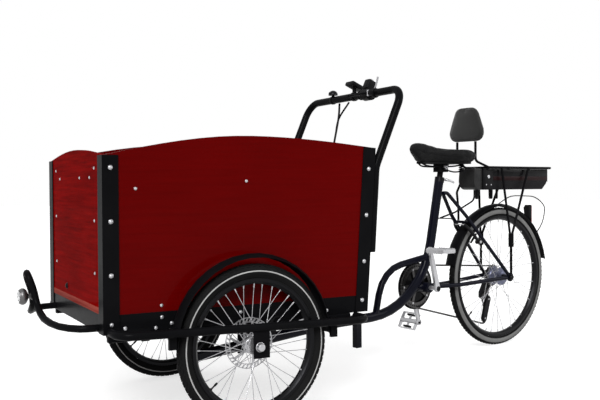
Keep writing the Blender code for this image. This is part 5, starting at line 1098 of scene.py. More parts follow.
def makeBattery():
    b = battery
    low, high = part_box("battery")
    tall, middle = high[2] - low[2], (low[1] + high[1]) / 2
    form = bmesh.new()
    outline = [(high[0], low[2]), (high[0], high[2]), (low[0], high[2])]
    outline += [(low[0] + tall * along, low[2] + tall * up) for along, up in b["tail"]]
    slab(form, outline, low[1] + b["seam"], high[1] - b["seam"], still, b["edge"], 0, 3)
    back, front = low[0] + b["back"], high[0] - b["lockEnd"]
    for under, over, proud, paint, edge in b["bands"]:
        corners = [(x, low[2] + tall * share) for x, share in ((front, under), (front, over), (back, over),
                                                               (back, under))]
        slab(form, corners, low[1] + proud, high[1] - proud, still, edge, paint, 2)
    # Lock block at the front end, with a key barrel and two screws on each side
    brick(form, (front + 0.003, low[1] - 0.001, low[2] + 0.004), (high[0] - 0.003, high[1] + 0.001, high[2] - 0.002),
          still, b["lockEdge"], 0, 3)
    for k in range(b["ribs"]):      # scalloped lower edge
        x = front - b["ribsFrom"] - (front - back - b["ribsLeave"]) * k / (b["ribs"] - 1)
        brick(form, (x - b["ribHalf"], low[1] + 0.004, low[2] + 0.001),
              (x + b["ribHalf"], high[1] - 0.004, low[2] + b["ribHigh"]), still, b["ribEdge"], 0, 3)
    for sign, side in ((-1, low[1] - 0.001), (1, high[1] + 0.001)):
        for inset, share, big in b["locks"]:
            lock = Matrix.Translation((high[0] - inset, side, low[2] + tall * share))
            lathe(form, [(radius, sign * out) for radius, out in ((0, -0.003), (big, -0.003), (big, 0.0006),
                                                                  (big - 0.0008, 0.0012), (0, 0.0012))], 24, lock, 2)
    for inset, half in b["bearers"]:    # between the battery and the rack stays
        tubeAlong(form, [(high[0] - inset, middle, low[2] - drop) for drop in b["bearerDrop"]],
                  (half, half * 0.9, half * 0.6), 20, still)
    place("battery_dressed", form, "rear_frame", "black_plastic", ("plastic", "glossPlastic", "silver", "maroon"),
          ("battery",), 34)


def makeController():
    c = controller
    low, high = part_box("controller_case")
    nose, corner = c["nose"], c["corner"]
    outline = ([(low[0], high[2]), (low[0], low[2])] + arc((high[0] - nose, low[2] + nose), nose, -math.pi / 2, 0, 10)
               + [(high[0], high[2] - corner), (high[0] - corner, high[2])])
    form = bmesh.new()
    slab(form, outline, low[1], high[1], still, c["edge"], 0, 4)
    x, y, z = c["knobAt"]
    knob = Matrix.Translation(((low[0] + high[0]) / 2 + x, (low[1] + high[1]) / 2 + y, high[2] + z)) @ upright
    lathe(form, c["knob"], 28, knob, 1)
    place("controller_case_dressed", form, "rear_frame", "black_plastic", ("case", "glossPlastic"),
          ("controller_case",), 34)


makeHeadlight()
makeTailLight()
makeBattery()
makeController()
print("lights, battery and controller made")


# Drive train: the values that its pieces share, then each piece's own
drive = {"crankWall": 0.013, "line": 0.0455, "linkPitch": 0.0127}
crank = {"side": 0.076, "width": 0.0235, "edge": 0.0032,
         "axle": ((0, -0.080), (0.0075, -0.080), (0.009, -0.076), (0.009, 0.076), (0.0075, 0.080), (0, 0.080)),
         "groove": (0.34, 0.26), "grooveEnds": (0.20, 0.80), "eye": ((0.0072, 0.001), (0.0105, 0), (0.0125, 0.0015)),
         "cap": ((0, 0.8), (0.0110, 0.8), (0.0110, 1.15), (0.0095, 1.35), (0.0070, 1.35), (0.0060, 1.1), (0, 1.1))}
chainring = {"radius": 0.086, "root": 0.082, "rim": 0.011, "teeth": 42, "toothHigh": 0.0052, "toothWall": 0.0018,
             "guard": 0.101, "guardSide": 0.054, "arms": 5, "armEdge": 0.0008,
             "bolt": (0.0036, 0.0046, 0.0046, 0.0034)}
cassette = {"cogs": 7, "start": 0.031, "pitch": 0.0045, "large": 0.050, "step": 0.0040, "root": 0.0035,
            "toothHigh": 0.0042, "toothWall": 0.0016, "bore": 0.0165, "wall": 0.0009}
chain = {"pulley": 0.020, "lift": 0.0055, "inset": -0.0008, "upper": (0.02625, -0.10875), "lower": (0.052, -0.195),
         "side": 0.0019, "plateHalf": 0.0006, "high": 0.0040, "waist": 0.0028, "round": 0.0034,
         "pin": (0.0030, 0.0021), "roller": (0.0013, 0.0036)}
pedals = {"size": (0.074, 0.098, 0.022), "gap": 0.003, "tilt": {"left": 0.0, "right": 62.0}, "teeth": 9,
          "toothHigh": 0.003, "plateWall": 0.0012, "block": (0.36, 0.004, 0.20, 0.62)}
crankAt = Vector(joints["crank_spin"]["pos_m"])
axleAt = Vector(joints["rear_wheel_spin"]["pos_m"])


def makeCrankset():
    c = crank
    form = bmesh.new()
    axis = Matrix.Translation(crankAt)
    lathe(form, c["axle"], 24, axis)
    half, thick = c["width"] / 2, drive["crankWall"] / 2
    for name, sign in (("left", 1), ("right", -1)):
        run = Vector(joints[name + "_pedal_spin"]["pos_m"]) - crankAt
        long = math.hypot(run.x, run.z)
        aim = Matrix.Rotation(math.atan2(run.x, run.z), 4, "Y")
        arm = axis @ Matrix.Translation((0, sign * c["side"], 0)) @ aim
        near, far = (long * share for share in c["grooveEnds"])
        outline = (arc((0, 0), half * 1.25, math.radians(200), math.radians(340), 12)
                   + [(half * 0.86, long * 0.22), (half * 0.74, far)]
                   + arc((0, long - 0.010), half * 0.66, math.radians(25), math.radians(155), 8)
                   + [(-half * 0.74, far), (-half * 0.86, long * 0.22)])
        slab(form, outline, -thick, thick, arm, c["edge"], 0, 3)
        wide, slim = (half * share for share in c["groove"])
        slab(form, [(-wide, near), (wide, near), (slim, far), (-slim, far)], -thick - 0.0006, thick + 0.0006, arm,
             0.0012, 0, 2)
        eye = [(radius, inset - thick) for radius, inset in c["eye"]]
        lathe(form, eye + [(radius, -y) for radius, y in reversed(eye)], 28,
              arm @ Matrix.Translation((0, 0, long)))
        lathe(form, [(radius, sign * thick * out) for radius, out in c["cap"]], 28, arm, 1)
    place("crankset_dressed", form, "crank", "silver_metal", ("silver", "alloy"), ("crankset",), 32)


def teeth(form, root, count, high, y, wall, matrix, coat, paint=0):
    half = math.pi * root / count
    flank = [(root - 0.0015, half * 0.72), (root + high * 0.55, half * 0.42), (root + high, half * 0.14)]
    tooth = bmesh.new()
    slab(tooth, [(r, -w) for r, w in flank] + flank[::-1], y - wall / 2, y + wall / 2, still)
    ring(form, tooth, count, matrix, coat, paint=paint)


def makeChainring():
    c = chainring
    axis = Matrix.Translation(crankAt)
    form = bmesh.new()
    y, side, r, g = -drive["line"], -c["guardSide"], c["root"], c["guard"]
    lathe(form, [(r - c["rim"], y - 0.0011), (r, y - 0.0011), (r, y + 0.0011), (r - c["rim"], y + 0.0011)], 84, axis,
          1)
    teeth(form, r, c["teeth"], c["toothHigh"], y, c["toothWall"], axis, "chain", 1)
    guard = [(0.0095, -0.0025), (0.022, -0.0030), (0.034, -0.0012), (g - 0.012, -0.0010), (g - 0.009, -0.0030),
             (g - 0.0015, -0.0030), (g, -0.0018), (g, -0.0008), (g - 0.001, 0), (g - 0.012, 0), (g - 0.013, 0.0010),
             (0.034, 0.0010), (0.022, y - side + 0.0015), (0.0095, y - side + 0.0015)]
    lathe(form, [(radius, side + out) for radius, out in guard], 96, axis)
    arm = bmesh.new()
    flank = [(0.015, 0.007), (0.050, 0.0055), (r - 0.008, 0.008)]
    slab(arm, [(x, -z) for x, z in flank] + [(r - 0.004, 0.0)] + flank[::-1], side + 0.0005, y - 0.0006, still,
         c["armEdge"])
    ring(form, arm, c["arms"], axis, "alloy", paint=1)
    bolt = bmesh.new()
    ends = (side - 0.0036, side - 0.0030, y + 0.0020, y + 0.0026)
    tubeAlong(bolt, [(r - 0.007, end, 0) for end in ends], c["bolt"], 12, still)
    ring(form, bolt, c["arms"], axis, "silver", paint=2)
    place("chainring_dressed", form, "crank", "black_plastic", ("glossPlastic", "chain", "silver"),
          ("chainring_and_guard",), 30)


def makeCassette():
    c = cassette
    axis = Matrix.Translation(axleAt)
    form = bmesh.new()
    wall = c["wall"]
    for k in range(c["cogs"]):
        y = -(c["start"] + k * c["pitch"] + 0.001)
        r = c["large"] - c["step"] * k - c["root"]
        lathe(form, [(c["bore"], y - wall), (r, y - wall), (r, y + wall), (c["bore"], y + wall)], 56, axis)
        teeth(form, r, round(2 * math.pi * r / drive["linkPitch"]), c["toothHigh"], y, c["toothWall"], axis, "chain")
    far = -(c["start"] + c["cogs"] * c["pitch"])
    lathe(form, [(0.0095, -0.0295), (0.0175, -0.0295), (0.0175, far), (0.0155, far - 0.0015), (0.0095, far - 0.0015)],
          40, axis)
    place("cassette_dressed", form, "rear_wheel", "chain_steel", ("chain",), ("cassette",), 30)


def belt(circles, outwards, step=math.radians(6)):
    # A line round circles (x, z, radius, sense), moved outwards
    signed = [sense * radius + outwards for _, _, radius, sense in circles]
    count = len(circles)
    normals = []
    for k in range(count):
        n = (k + 1) % count
        run = Vector((circles[n][0] - circles[k][0], circles[n][1] - circles[k][1]))
        share = (signed[k] - signed[n]) / run.length
        run.normalize()
        normals.append(run * share - Vector((-run.y, run.x)) * math.sqrt(1 - share ** 2))
    points = []
    for k, (x, z, _, sense) in enumerate(circles):
        arrive, leave = (math.atan2(normals[j].y, normals[j].x) for j in (k - 1, k))
        sweep = (sense * (leave - arrive)) % (2 * math.pi)
        ticks = max(2, math.ceil(sweep / step))
        for tick in range(ticks + 1):
            angle = arrive + sense * sweep * tick / ticks
            points.append((x + signed[k] * math.cos(angle), z + signed[k] * math.sin(angle)))
    return points


def makeChain():
    c = chain
    cog = cassette["large"] - 3 * cassette["step"]
    pulleys = [(axleAt.x + x, axleAt.z + z, c["pulley"] + c["lift"], sense)
               for (x, z), sense in ((c["upper"], -1), (c["lower"], 1))]
    points = belt([(crankAt.x, crankAt.z, chainring["radius"] + c["lift"], 1),
                   (axleAt.x, axleAt.z, cog + c["lift"], 1)] + pulleys, c["inset"])
    curve = bpy.data.curves.new("chainPath", "CURVE")
    curve.dimensions = "3D"
    line = curve.splines.new("POLY")
    line.points.add(len(points) - 1)
    line.use_cyclic_u = True
    for spot, (x, z) in zip(line.points, points):
        spot.co = (x, crankAt.y - drive["line"], z, 1)
    path = addItem("chainPath", curve)
    total = sum(math.dist(a, b) for a, b in zip(points, points[1:] + points[:1]))
    count = round(total / drive["linkPitch"])
    end, tall, waist = total / count / 2, c["high"], c["waist"]
    plate = [(-end, tall), (0, waist), (end, tall), (end + c["round"], 0.0), (end, -tall), (0, -waist), (-end, -tall),
             (-end - c["round"], 0.0)]
    link = bmesh.new()
    for y in (c["side"], -c["side"]):
        slab(link, plate, y - c["plateHalf"], y + c["plateHalf"], still)
    for half, radius in (c["pin"], c["roller"]):
        tubeAlong(link, [(end, -half, 0), (end, half, 0)], radius, 8, still)
    mesh = grow(trees["path"], closeUp(link, "link"), "chain", Path=path, Count=count)
    bpy.data.objects.remove(path, do_unlink=True)
    place("chain_dressed", mesh, "rear_frame", "chain_steel", ("chain",), ("chain",), 40)


def makePedal(name, sign):
    p = pedals
    wide, long, high = p["size"]
    grid = (Matrix.Translation(Vector(joints[name + "_pedal_spin"]["pos_m"]))
            @ Matrix.Rotation(math.radians(p["tilt"][name]), 4, "Y"))
    root = sign * drive["crankWall"] / 2
    start = root + sign * p["gap"]
    low, up = sorted((start, start + sign * long))
    tall = high / 2
    form = bmesh.new()
    axle = start + sign * 0.004
    lathe(form, [(0.0060, -root), (0.0060, axle), (0, axle), (0, -root)], 16, grid, 1)
    lathe(form, [(0, low + 0.004), (0.0085, low + 0.004), (0.0115, low + 0.012), (0.0095, low + 0.020),
                 (0.0095, up - 0.020), (0.0105, up - 0.010), (0.0085, up - 0.003), (0, up - 0.003)], 24, grid)
    outline = []        # toothed cage plates front and rear
    for k in range(p["teeth"]):
        a, b = (low + 0.004 + (long - 0.008) * (k + share) / p["teeth"] for share in (0.15, 0.85))
        outline += [(a, tall - p["toothHigh"]), ((a * 3 + b) / 4, tall), ((a + b * 3) / 4, tall),
                    (b, tall - p["toothHigh"])]
    outline += [(y, -z) for y, z in reversed(outline)]
    turn = grid @ Matrix.Rotation(math.radians(90), 4, "Z")
    wall = p["plateWall"]
    for edge in (wide / 2 - wall, wall - wide / 2):
        slab(form, outline, edge - wall, edge + wall, turn, 0.0004, 0, 1)
    side, shoulder = wide / 2 - 0.001, tall * 0.62
    for y in (low + 0.0025, up - 0.0025):
        slab(form, [(-side, -shoulder), (-side, shoulder), (0, tall * 0.80), (side, shoulder), (side, -shoulder),
                    (0, -tall * 0.80)], y - 0.0022, y + 0.0022, grid, 0.0010, 0, 2)
    at, thick, reach, share = p["block"]        # rubber blocks on their bridges
    y = (low + up) / 2
    for x in (-at * wide, at * wide):
        brick(form, (x - thick, y - long * reach, -tall * share), (x + thick, y + long * reach, tall * share), grid,
              0.0012, 1)
        brick(form, (min(0, x), y - 0.004, -0.004), (max(0, x), y + 0.004, 0.004), grid, 0.001, 0)
    place("pedal_%s_dressed" % name, form, name + "_pedal", "silver_metal", ("silver", "plastic"),
          ("pedal_" + name,), 30)


makeCrankset()
makeChainring()
makeCassette()
makeChain()
makePedal("left", 1)
makePedal("right", -1)
print("drive train made")


# Below the box: beams with gussets, the inner halves of the disc callipers, and every screw and nut
beams = {"low": 0.286, "high": 0.3095, "side": (0.316, 0.337), "ends": (-0.385, 0.435), "edge": 0.003,
         "gussets": (-0.30, -0.12, 0.14, 0.32), "gusset": ((-0.022, 0.3105), (0.022, 0.3105), (0.012, 0.280),
                                                           (-0.012, 0.280)),
         "gussetWall": (0.004, 0.008), "gussetEdge": 0.0008}
calliper = {"outline": ((-0.100, 0.262), (-0.100, 0.300), (-0.076, 0.314), (-0.050, 0.306), (-0.046, 0.282),
                        (-0.066, 0.258)), "side": (0.330, 0.351), "edge": 0.004,
            "bracket": ((-0.092, 0.295), (-0.092, 0.3095), (-0.040, 0.3095), (-0.050, 0.290)),
            "bracketSide": (0.328, 0.336), "bracketEdge": 0.001,
            "hose": ((-0.088, 0.338, 0.306), (-0.100, 0.338, 0.318), (-0.130, 0.330, 0.322)), "hoseRadius": 0.0032}
screws = {"head": ((0, 0.62), (0.40, 0.55), (0.72, 0.36), (0.88, 0.10), (1.0, 0.10), (1.0, -0.06), (0, -0.06)),
          "small": 0.0048, "sillSize": 0.00552, "dome": 0.0068, "footSize": 0.00578, "plugSize": 0.0105,
          "postFace": 0.3402, "panelFace": 0.3370, "frontPanel": 0.4467, "post": 0.4255, "boxFoot": 0.310,
          "lean": 3.75, "heights": (0.790, 0.635, 0.480), "rearFoot": 0.350, "frontSide": 0.245,
          "postFeet": ((0.4255, 0.339), (0.3860, 0.326)),
          "panel": ((0.351, 0.729), (-0.004, 0.750), (0.275, 0.384), (-0.180, 0.384)),
          "sill": ((0.275, 0.350), (0.294, 0.320), (0.245, 0.330), (-0.250, 0.340), (-0.290, 0.326), (0.02, 0.345)),
          "front": ((-0.188, 0.762), (0.075, 0.763), (0.193, 0.763)), "plug": (-0.100, 0.409)}
batten = {"half": 0.288, "low": 0.3650, "high": 0.3835, "back": 0.4442, "face": 0.4490, "edge": 0.0010}
axleNut = {"face": 0.4352, "profile": ((0, -0.001), (0.0150, -0.001), (0.0150, 0.0014), (0.0136, 0.0022),
                                       (0.0130, 0.0085), (0.0108, 0.0124), (0.0062, 0.0148), (0, 0.0156))}


def makeStuds(name, spots, coat, slot):
    # Domed screw heads on thin washers at (place, facing, size), placed by the stud tree
    mesh = bpy.data.meshes.new(name)
    mesh.from_pydata([frontGrid @ Vector(spot) for spot, _, _ in spots], [], [])
    mesh.attributes.new("facing", "FLOAT_VECTOR", "POINT")
    mesh.attributes.new("size", "FLOAT", "POINT")
    for k, (_, way, big) in enumerate(spots):
        mesh.attributes["facing"].data[k].vector = frontGrid.to_3x3() @ Vector(way)
        mesh.attributes["size"].data[k].value = big
    head = bmesh.new()
    lathe(head, screws["head"], 14, upright)
    stud = addItem("stud", closeUp(head, "stud"))
    made = grow(trees["studs"], mesh, coat, Stud=stud)
    bpy.data.objects.remove(stud, do_unlink=True)
    place(name, made, "front_module", slot, (coat,), (), 40)


def makeBeams():
    b, c = beams, calliper
    form = bmesh.new()
    for side in (1, -1):
        low, high = sorted(side * y for y in b["side"])
        brick(form, (b["ends"][0], low, b["low"]), (b["ends"][1], high, b["high"]), frontGrid, b["edge"])
        for x in b["gussets"]:
            outline = [(x + across, z) for across, z in b["gusset"]]
            near, far = (low + wall for wall in b["gussetWall"])
            slab(form, outline, near, far, frontGrid, b["gussetEdge"], 0, 1)
        near, far = sorted(side * y for y in c["side"])
        slab(form, c["outline"], near, far, frontGrid, c["edge"], 1, 2)
        near, far = sorted(side * y for y in c["bracketSide"])
        slab(form, c["bracket"], near, far, frontGrid, c["bracketEdge"], 0, 1)
        tubeAlong(form, [(x, side * y, z) for x, y, z in c["hose"]], c["hoseRadius"], 10, frontGrid, paint=1)
    place("under_beams", form, "front_module", "black_paint", ("paint", "plastic"), (), 35)


def makeScrews():
    s = screws
    lean = math.tan(math.radians(s["lean"]))
    ahead = (1, 0, 0)
    spots = []
    for side in (1, -1):
        out = (0, side, 0)
        post, panel = side * s["postFace"], side * s["panelFace"]
        for z in s["heights"]:
            spots.append(((s["post"], post, z), out, s["dome"]))
            spots.append(((-s["post"] - (z - s["boxFoot"]) * lean, post, z), out, s["dome"]))
            spots.append(((s["frontPanel"], side * s["frontSide"], z), ahead, s["small"]))
        spots.append(((-s["post"] - (s["rearFoot"] - s["boxFoot"]) * lean, post, s["rearFoot"]), out, s["dome"]))
        for places, y, big in ((s["postFeet"], post, s["footSize"]), (s["panel"], panel, s["small"]),
                               (s["sill"], post, s["sillSize"])):
            spots += [((x, y, z), out, big) for x, z in places]
    spots += [((s["frontPanel"], y, z), ahead, s["small"]) for y, z in s["front"]]
    makeStuds("box_screws", spots, "silver", "silver_metal")
    form = bmesh.new()
    hub = frontGrid @ Matrix.Translation((0, 0, joints["left_front_wheel_spin"]["pos_m"][2]))
    for side in (1, -1):
        lathe(form, [(radius, side * (axleNut["face"] + out)) for radius, out in axleNut["profile"]], 30, hub)
    place("axle_dome_nuts", form, "front_module", "silver_metal", ("silver",), (), 30)


def makeFrontFoot():
    # Plug, and a pale batten at the foot of the front panel; its pale pink is painted highlight for the light on the
    # ledge top
    s, b = screws, batten
    makeStuds("box_plug", [((s["frontPanel"], *s["plug"]), (1, 0, 0), s["plugSize"])], "plastic", "black_plastic")
    form = bmesh.new()
    brick(form, (b["back"], -b["half"], b["low"]), (b["face"], b["half"], b["high"]), frontGrid, b["edge"])
    place("front_batten", form, "front_module", "red_lacquer", ("batten",), (), 35)


makeBeams()
makeFrontFoot()
makeScrews()
print("beams, screws and batten made")


# Saddle rails, springs and clamp, placed from the saddle's nose and foot, and the seat clamp collar
seatFrame = {"rail": ((-0.050, 0.006, 0.010), (-0.062, 0.012, -0.001), (-0.100, 0.021, -0.0105),
                      (-0.215, 0.021, -0.0105), (-0.262, 0.036, -0.004), (-0.285, 0.046, 0.010)), "railWire": 0.0035,
             "spring": (-0.248, 0.058, -0.030), "springRadius": 0.0105, "springWire": 0.0021, "springHigh": 0.034,
             "turns": 4.5, "cup": (-0.034, -0.029), "cupRadius": 0.0135, "armWire": 0.0032,
             "arm": ((-0.248, 0.058, -0.032), (-0.215, 0.040, -0.034), (-0.170, 0.021, -0.020)),
             "clampBack": 0.182, "clampDrop": 0.0105, "clampSide": 0.024, "clampHalf": 0.010, "clampRadius": 0.0075,
             "boltDrop": 0.016, "boltHalf": 0.034, "boltRadius": 0.0040, "nutFrom": 0.028}
collar = {"at": (-1.2585, 0.757), "lean": 78.5, "profile": ((-0.011, 0.0200), (-0.010, 0.0208), (0.010, 0.0208),
                                                            (0.011, 0.0200)),
          "pinBack": 0.019, "pin": (-0.016, 0.018), "pinRadius": 0.0045, "thick": 0.0060, "taper": 0.0020,
          "lever": ((-0.019, 0.018, 0), (-0.024, 0.026, -0.002), (-0.040, 0.030, -0.006), (-0.060, 0.027, -0.012))}


def makeSaddleFrame():
    s, nose, foot = seatFrame, saddle["nose"], saddle["foot"]
    form = bmesh.new()
    ticks = 14      # points in a turn of the spring
    for side in (1, -1):
        rail, arm = ([(nose + x, side * y, foot + z) for x, y, z in s[key]] for key in ("rail", "arm"))
        tubeAlong(form, smoothPath(rail, 6), s["railWire"], 12, rearGrid)
        x, y, z = s["spring"]
        coil = []
        for k in range(int(s["turns"] * ticks) + 1):
            turn = 2 * math.pi * k / ticks
            coil.append((nose + x + s["springRadius"] * math.cos(turn), side * y + s["springRadius"] * math.sin(turn),
                         foot + z + s["springHigh"] * k / (s["turns"] * ticks)))
        tubeAlong(form, coil, s["springWire"], 8, rearGrid)
        tubeAlong(form, [(nose + x, side * y, foot + level) for level in s["cup"]], s["cupRadius"], 18, rearGrid)
        tubeAlong(form, smoothPath(arm, 6), s["armWire"], 10, rearGrid)
    x, level, low = nose - s["clampBack"], foot - s["clampDrop"], foot - s["boltDrop"]
    for y in (-s["clampSide"], s["clampSide"]):
        tubeAlong(form, [(x - s["clampHalf"], y, level), (x + s["clampHalf"], y, level)], s["clampRadius"], 16,
                  rearGrid, paint=1)
    tubeAlong(form, [(x, -s["boltHalf"], low), (x, s["boltHalf"], low)], s["boltRadius"], 12, rearGrid, paint=1)
    for side in (1, -1):
        tubeAlong(form, [(x, side * s["nutFrom"], low), (x, side * s["boltHalf"], low)], s["clampRadius"], 6,
                  rearGrid, paint=1)
    place("saddle_rails", form, "rear_frame", "black_paint", ("paint", "silver"), (), 35)


def makeCollar():
    # Seat clamp collar with its quick release lever
    c = collar
    form = bmesh.new()
    x, z = c["at"]
    lean = math.radians(c["lean"])
    tube = Vector((-math.cos(lean), 0, math.sin(lean)))
    tubeAlong(form, [Vector((x, 0, z)) + tube * run for run, _ in c["profile"]], [r for _, r in c["profile"]], 32,
              rearGrid)
    tubeAlong(form, [(x - c["pinBack"], y, z) for y in c["pin"]], c["pinRadius"], 14, rearGrid, paint=1)
    lever = smoothPath([(x + back, y, z + up) for back, y, up in c["lever"]], 5)
    last = len(lever) - 1
    tubeAlong(form, lever, [c["thick"] - c["taper"] * k / last for k in range(last + 1)], 12, rearGrid, paint=1)
    place("seat_clamp", form, "rear_frame", "black_alloy", ("alloy", "silver"), (), 35)


# Rim brake of the rear wheel, at (reach from the axle, side) along its way, and the derailleur
rimBrake = {"way": (0.735, 0, 0.678), "pad": (0.2690, 0.0205), "padHalf": 0.026, "padRadius": (0.0052, 0.0046),
            "post": 0.018, "postRadius": 0.0042, "armRadius": 0.0072, "boss": (-0.012, 0.010), "bossRadius": 0.0105,
            "cap": 0.013, "capRadius": 0.0060, "wire": 0.0020, "wirePast": 0.006, "noodleRadius": 0.0026,
            "arm": ((0.246, 0.036), (0.272, 0.0375), (0.310, 0.0370), (0.345, 0.0330), (0.362, 0.0260)),
            "noodle": ((0, -0.004, 0), (0.012, 0.0, 0.018), (0.040, 0.010, 0.026)),
            "noodleEnd": (0.404, 0.004, 0.592)}
mech = {"hanger": ((-0.012, 0.010), (0.012, 0.010), (0.013, -0.022), (0.006, -0.034), (-0.008, -0.034),
                   (-0.013, -0.020)), "hangerSide": (-0.0725, -0.0685), "hangerEdge": 0.0010,
        "body": ((-0.010, -0.026), (0.012, -0.022), (0.046, -0.078), (0.046, -0.104), (0.020, -0.118),
                 (0.002, -0.090)), "bodySide": (-0.0865, -0.0560), "bodyEdge": 0.0055,
        "bolts": ((0.001, -0.030), (0.030, -0.098)), "bolt": ((-0.0885, 0.0060), (-0.0880, 0.0072),
                                                              (-0.0560, 0.0072)), "cageSide": 0.0068,
        "cageHalf": 0.0009, "cageEdge": 0.0003, "cageEnds": (0.0135, 0.0125),
        "pulley": ((0.0040, -0.0042), (0.0120, -0.0042), (0.0130, -0.0012), (0.0165, -0.0011), (0.0165, 0.0011),
                   (0.0130, 0.0012), (0.0120, 0.0042), (0.0040, 0.0042)), "root": 0.0165, "teeth": 11,
        "toothHigh": 0.0036, "toothWall": 0.0019, "pin": 0.0092, "pinRadius": 0.0038}


def makeRearBrake():
    # Two arms beside the tyre with pads at the rim, joined by a noodle and a cable
    b = rimBrake
    form = bmesh.new()
    centre, way = Vector((axleAt.x, 0, axleAt.z)), Vector(b["way"])
    up = Vector((-way.z, 0, way.x))

    def sideways(y):
        return Vector((0, side * y, 0))

    for side in (1, -1):
        reach, out = b["pad"]
        pad = centre + way * reach + sideways(out)
        for k in (-1, 1):
            tubeAlong(form, [pad, pad + up * b["padHalf"] * k], b["padRadius"], 10, still, paint=1)
        tubeAlong(form, [pad, pad + sideways(b["post"])], b["postRadius"], 12, still, paint=2)
        arm = [centre + way * reach + sideways(out) for reach, out in b["arm"]]
        tubeAlong(form, smoothPath(arm, 5), b["armRadius"], 12, still)
        low, high = b["boss"]
        tubeAlong(form, [arm[0] + sideways(low), arm[0] + sideways(high)], b["bossRadius"], 18, still)
        tubeAlong(form, [arm[0] + sideways(high), arm[0] + sideways(b["cap"])], b["capRadius"], 14, still, paint=2)
    reach, out = b["arm"][-1]
    left, right = (centre + way * reach + Vector((0, side * out, 0)) for side in (1, -1))
    past = Vector((0, b["wirePast"], 0))
    tubeAlong(form, [left + past, right - past], b["wire"], 8, still, paint=2)
    x, y, z = b["noodleEnd"]
    noodle = [right + Vector(step) for step in b["noodle"]] + [Vector((axleAt.x + x, y, z))]
    tubeAlong(form, smoothPath(noodle, 6), b["noodleRadius"], 10, still, paint=1)
    place("rear_brake_arms", form, "rear_frame", "black_alloy", ("alloy", "plastic", "silver"), (), 35)


def makeDerailleur():
    m = mech
    form = bmesh.new()
    upper, lower = (Vector((axleAt.x + x, 0, axleAt.z + z)) for x, z in (chain["upper"], chain["lower"]))
    line = -drive["line"]
    hanger, body = ([(axleAt.x + x, axleAt.z + z) for x, z in m[key]] for key in ("hanger", "body"))
    slab(form, hanger, *m["hangerSide"], still, m["hangerEdge"], 0, 1)
    slab(form, body, *m["bodySide"], still, m["bodyEdge"], 0, 3)
    for x, z in m["bolts"]:
        tubeAlong(form, [(axleAt.x + x, y, axleAt.z + z) for y, _ in m["bolt"]], [r for _, r in m["bolt"]], 20,
                  still, paint=1)
    run = (lower - upper).normalized()
    flank = Vector((run.z, 0, -run.x))
    sweep = [math.pi * k / 8 for k in range(9)]
    big, small = m["cageEnds"]
    capsule = ([upper + flank * (big * math.cos(a)) - run * (big * math.sin(a)) for a in sweep]
               + [lower - flank * (small * math.cos(a)) + run * (small * math.sin(a)) for a in sweep])
    for y in (line - m["cageSide"], line + m["cageSide"]):
        slab(form, [(p.x, p.z) for p in capsule], y - m["cageHalf"], y + m["cageHalf"], still, m["cageEdge"], 0, 1)
    for spot in (upper, lower):
        hub = Matrix.Translation(spot)
        lathe(form, [(radius, line + across) for radius, across in m["pulley"]], 33, hub, 2)
        teeth(form, m["root"], m["teeth"], m["toothHigh"], line, m["toothWall"], hub, "plastic", 2)
        tubeAlong(form, [spot + Vector((0, line + end, 0)) for end in (-m["pin"], m["pin"])], m["pinRadius"], 12,
                  still, paint=1)
    place("derailleur_dressed", form, "rear_frame", "black_alloy", ("alloy", "silver", "plastic"), ("derailleur",),
          32)


makeSaddleFrame()
makeCollar()
makeRearBrake()
makeDerailleur()
print("rear fittings made")


# Finishes and smooth shading for the CAD nodes that keep their shape
def smoothingTree():
    tree, start, end = newTree("smoothByAngle", ("Crease Angle", "Float"))
    new = tree.nodes.new
    weld = new("GeometryNodeMergeByDistance")
    weld.inputs["Distance"].default_value = 1e-5
    smooth, sharp = (new("GeometryNodeSetShadeSmooth") for _ in range(2))
    sharp.domain = "EDGE"
    sharp.inputs["Shade Smooth"].default_value = False
    angle, over = new("GeometryNodeInputMeshEdgeAngle"), new("FunctionNodeCompare")
    wire(tree, (start, "Shape", weld, "Geometry"), (weld, "Geometry", smooth, "Geometry"),
         (smooth, "Geometry", sharp, "Geometry"), (angle, "Unsigned Angle", over, "A"),
         (start, "Crease Angle", over, "B"), (over, "Result", sharp, "Selection"), (sharp, "Geometry", end, "Shape"))
    return tree


slotFinish = {"red_lacquer": "lacquer", "black_paint": "paint", "navy_paint": "framePaint",
              "black_plastic": "plastic", "silver_metal": "silver", "black_alloy": "alloy",
              "tyre_rubber": "rubber", "saddle_cover": "vinyl", "red_lens": "lens", "chain_steel": "chain"}
# The front panel takes the brighter copy of the red lacquer, which is painted light
nodeFinish = {"box_front_panel": "frontLacquerLit"}
nodeSlots = {entry["node"]: entry["material_slot"] for entry in frame["record"]["subparts"]}
smoothing = smoothingTree()
creaseDegrees = 50
creaseInput = next(s.identifier for s in smoothing.interface.items_tree if s.name == "Crease Angle")
for node, item in frame["nodes"].items():
    wanted = finish[nodeFinish.get(node, slotFinish[nodeSlots[node]])]
    if not item.material_slots:
        item.data.materials.append(wanted)
    for holder in item.material_slots:
        holder.link = "OBJECT"
        holder.material = wanted
    tidy = item.modifiers.new("smooth", "NODES")
    tidy.node_group = smoothing
    tidy[creaseInput] = math.radians(creaseDegrees)


# Floor and light
stageLook = {"floorSize": 60.0, "floor": 0.50, "lift": 0.66, "horizon": 0.07, "zenith": 0.80, "sun": 2.7,
             "sunAt": (2.6, 2.3, 3.0), "sunAngle": 28, "fill": 40.0, "fillAt": (-3.2, 2.2, 2.2), "fillSize": 2.4,
             "aim": (0, 0, 0.55)}


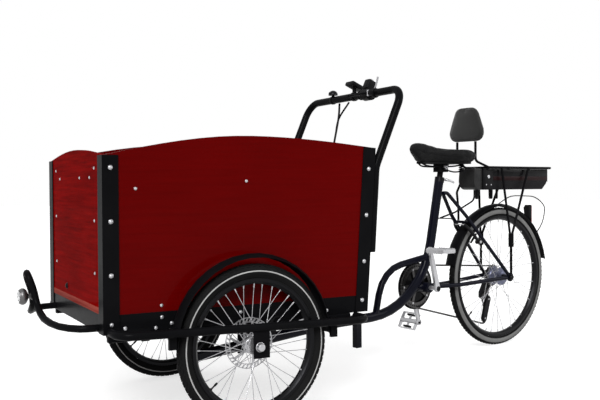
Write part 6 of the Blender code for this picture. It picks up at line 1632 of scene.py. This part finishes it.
def makeStage():
    form = bmesh.new()
    bmesh.ops.create_grid(form, x_segments=1, y_segments=1, size=stageLook["floorSize"] / 2)
    mesh = bpy.data.meshes.new("floor")
    form.to_mesh(mesh)
    form.free()
    floor = addItem("floor", mesh)
    paper = Finish("paleFloor", Roughness=0.9, Specular_IOR_Level=0.1)
    mottle = paper.clouds(1.5, 2.0)
    paper.put("Base Color", paper.mixed(mottle * 0.03, (stageLook["floor"],) * 3, (stageLook["floor"] * 0.95,) * 3))
    # What the camera, metal and glass see of the floor is lifted to white; its shadow stays
    seen = [paper.add("ShaderNodeLightPath", out="Is %s Ray" % kind) for kind in ("Camera", "Glossy", "Transmission")]
    white, dark = (paper.add("ShaderNodeEmission", Color=(1, 1, 1, 1), Strength=level)
                   for level in (stageLook["lift"], 0.0))
    lift = paper.add("ShaderNodeMixShader", out="Shader", Fac=seen[0] + seen[1] + seen[2])
    both = paper.add("ShaderNodeAddShader", out="Shader")
    for first, second, slot in ((dark.socket, lift, 1), (white.socket, lift, 2), (paper.shader.outputs[0], both, 0),
                                (lift.socket, both, 1)):
        paper.tree.links.new(first, second.socket.node.inputs[slot])
    paper.tree.links.new(both.socket, paper.tree.nodes["Material Output"].inputs["Surface"])
    mesh.materials.append(paper.material)
    # White room: dim walls, bright ceiling, plain white behind the object
    world = bpy.data.worlds.new("studio")
    world.use_nodes = True
    scene.world = world
    nodes = world.node_tree.nodes
    where, split, rise, path, level, first, both = (nodes.new("ShaderNode" + kind) for kind in (
        "TexCoord", "SeparateXYZ", "MapRange", "LightPath", "Mix", "Math", "Math"))
    rise.interpolation_type = "SMOOTHSTEP"
    for key, value in (("From Min", 0.10), ("From Max", 0.75), ("To Min", stageLook["horizon"]),
                       ("To Max", stageLook["zenith"])):
        rise.inputs[key].default_value = value
    level.inputs[3].default_value = 1.0
    sky = nodes["Background"]
    sky.inputs["Color"].default_value = (1, 1, 1, 1)
    wire(world.node_tree, (where, "Generated", split, 0), (split, "Z", rise, "Value"),
         (path, "Is Camera Ray", first, 0), (path, "Is Glossy Ray", first, 1), (first, 0, both, 0),
         (path, "Is Transmission Ray", both, 1), (both, 0, level, 0), (rise, 0, level, 2),
         (level, 0, sky, "Strength"))
    for name, kind in (("sun", "SUN"), ("fill", "AREA")):
        light = bpy.data.lights.new(name, kind)
        light.energy = stageLook[name]
        if kind == "SUN":
            light.angle = math.radians(stageLook["sunAngle"])
        else:
            light.shape = "DISK"
            light.size = stageLook["fillSize"]
        item = addItem(name, light)
        item.location = at = Vector(stageLook[name + "At"])
        item.rotation_euler = (Vector(stageLook["aim"]) - at).to_track_quat("-Z", "Y").to_euler()


makeStage()
print("floor and lights set")
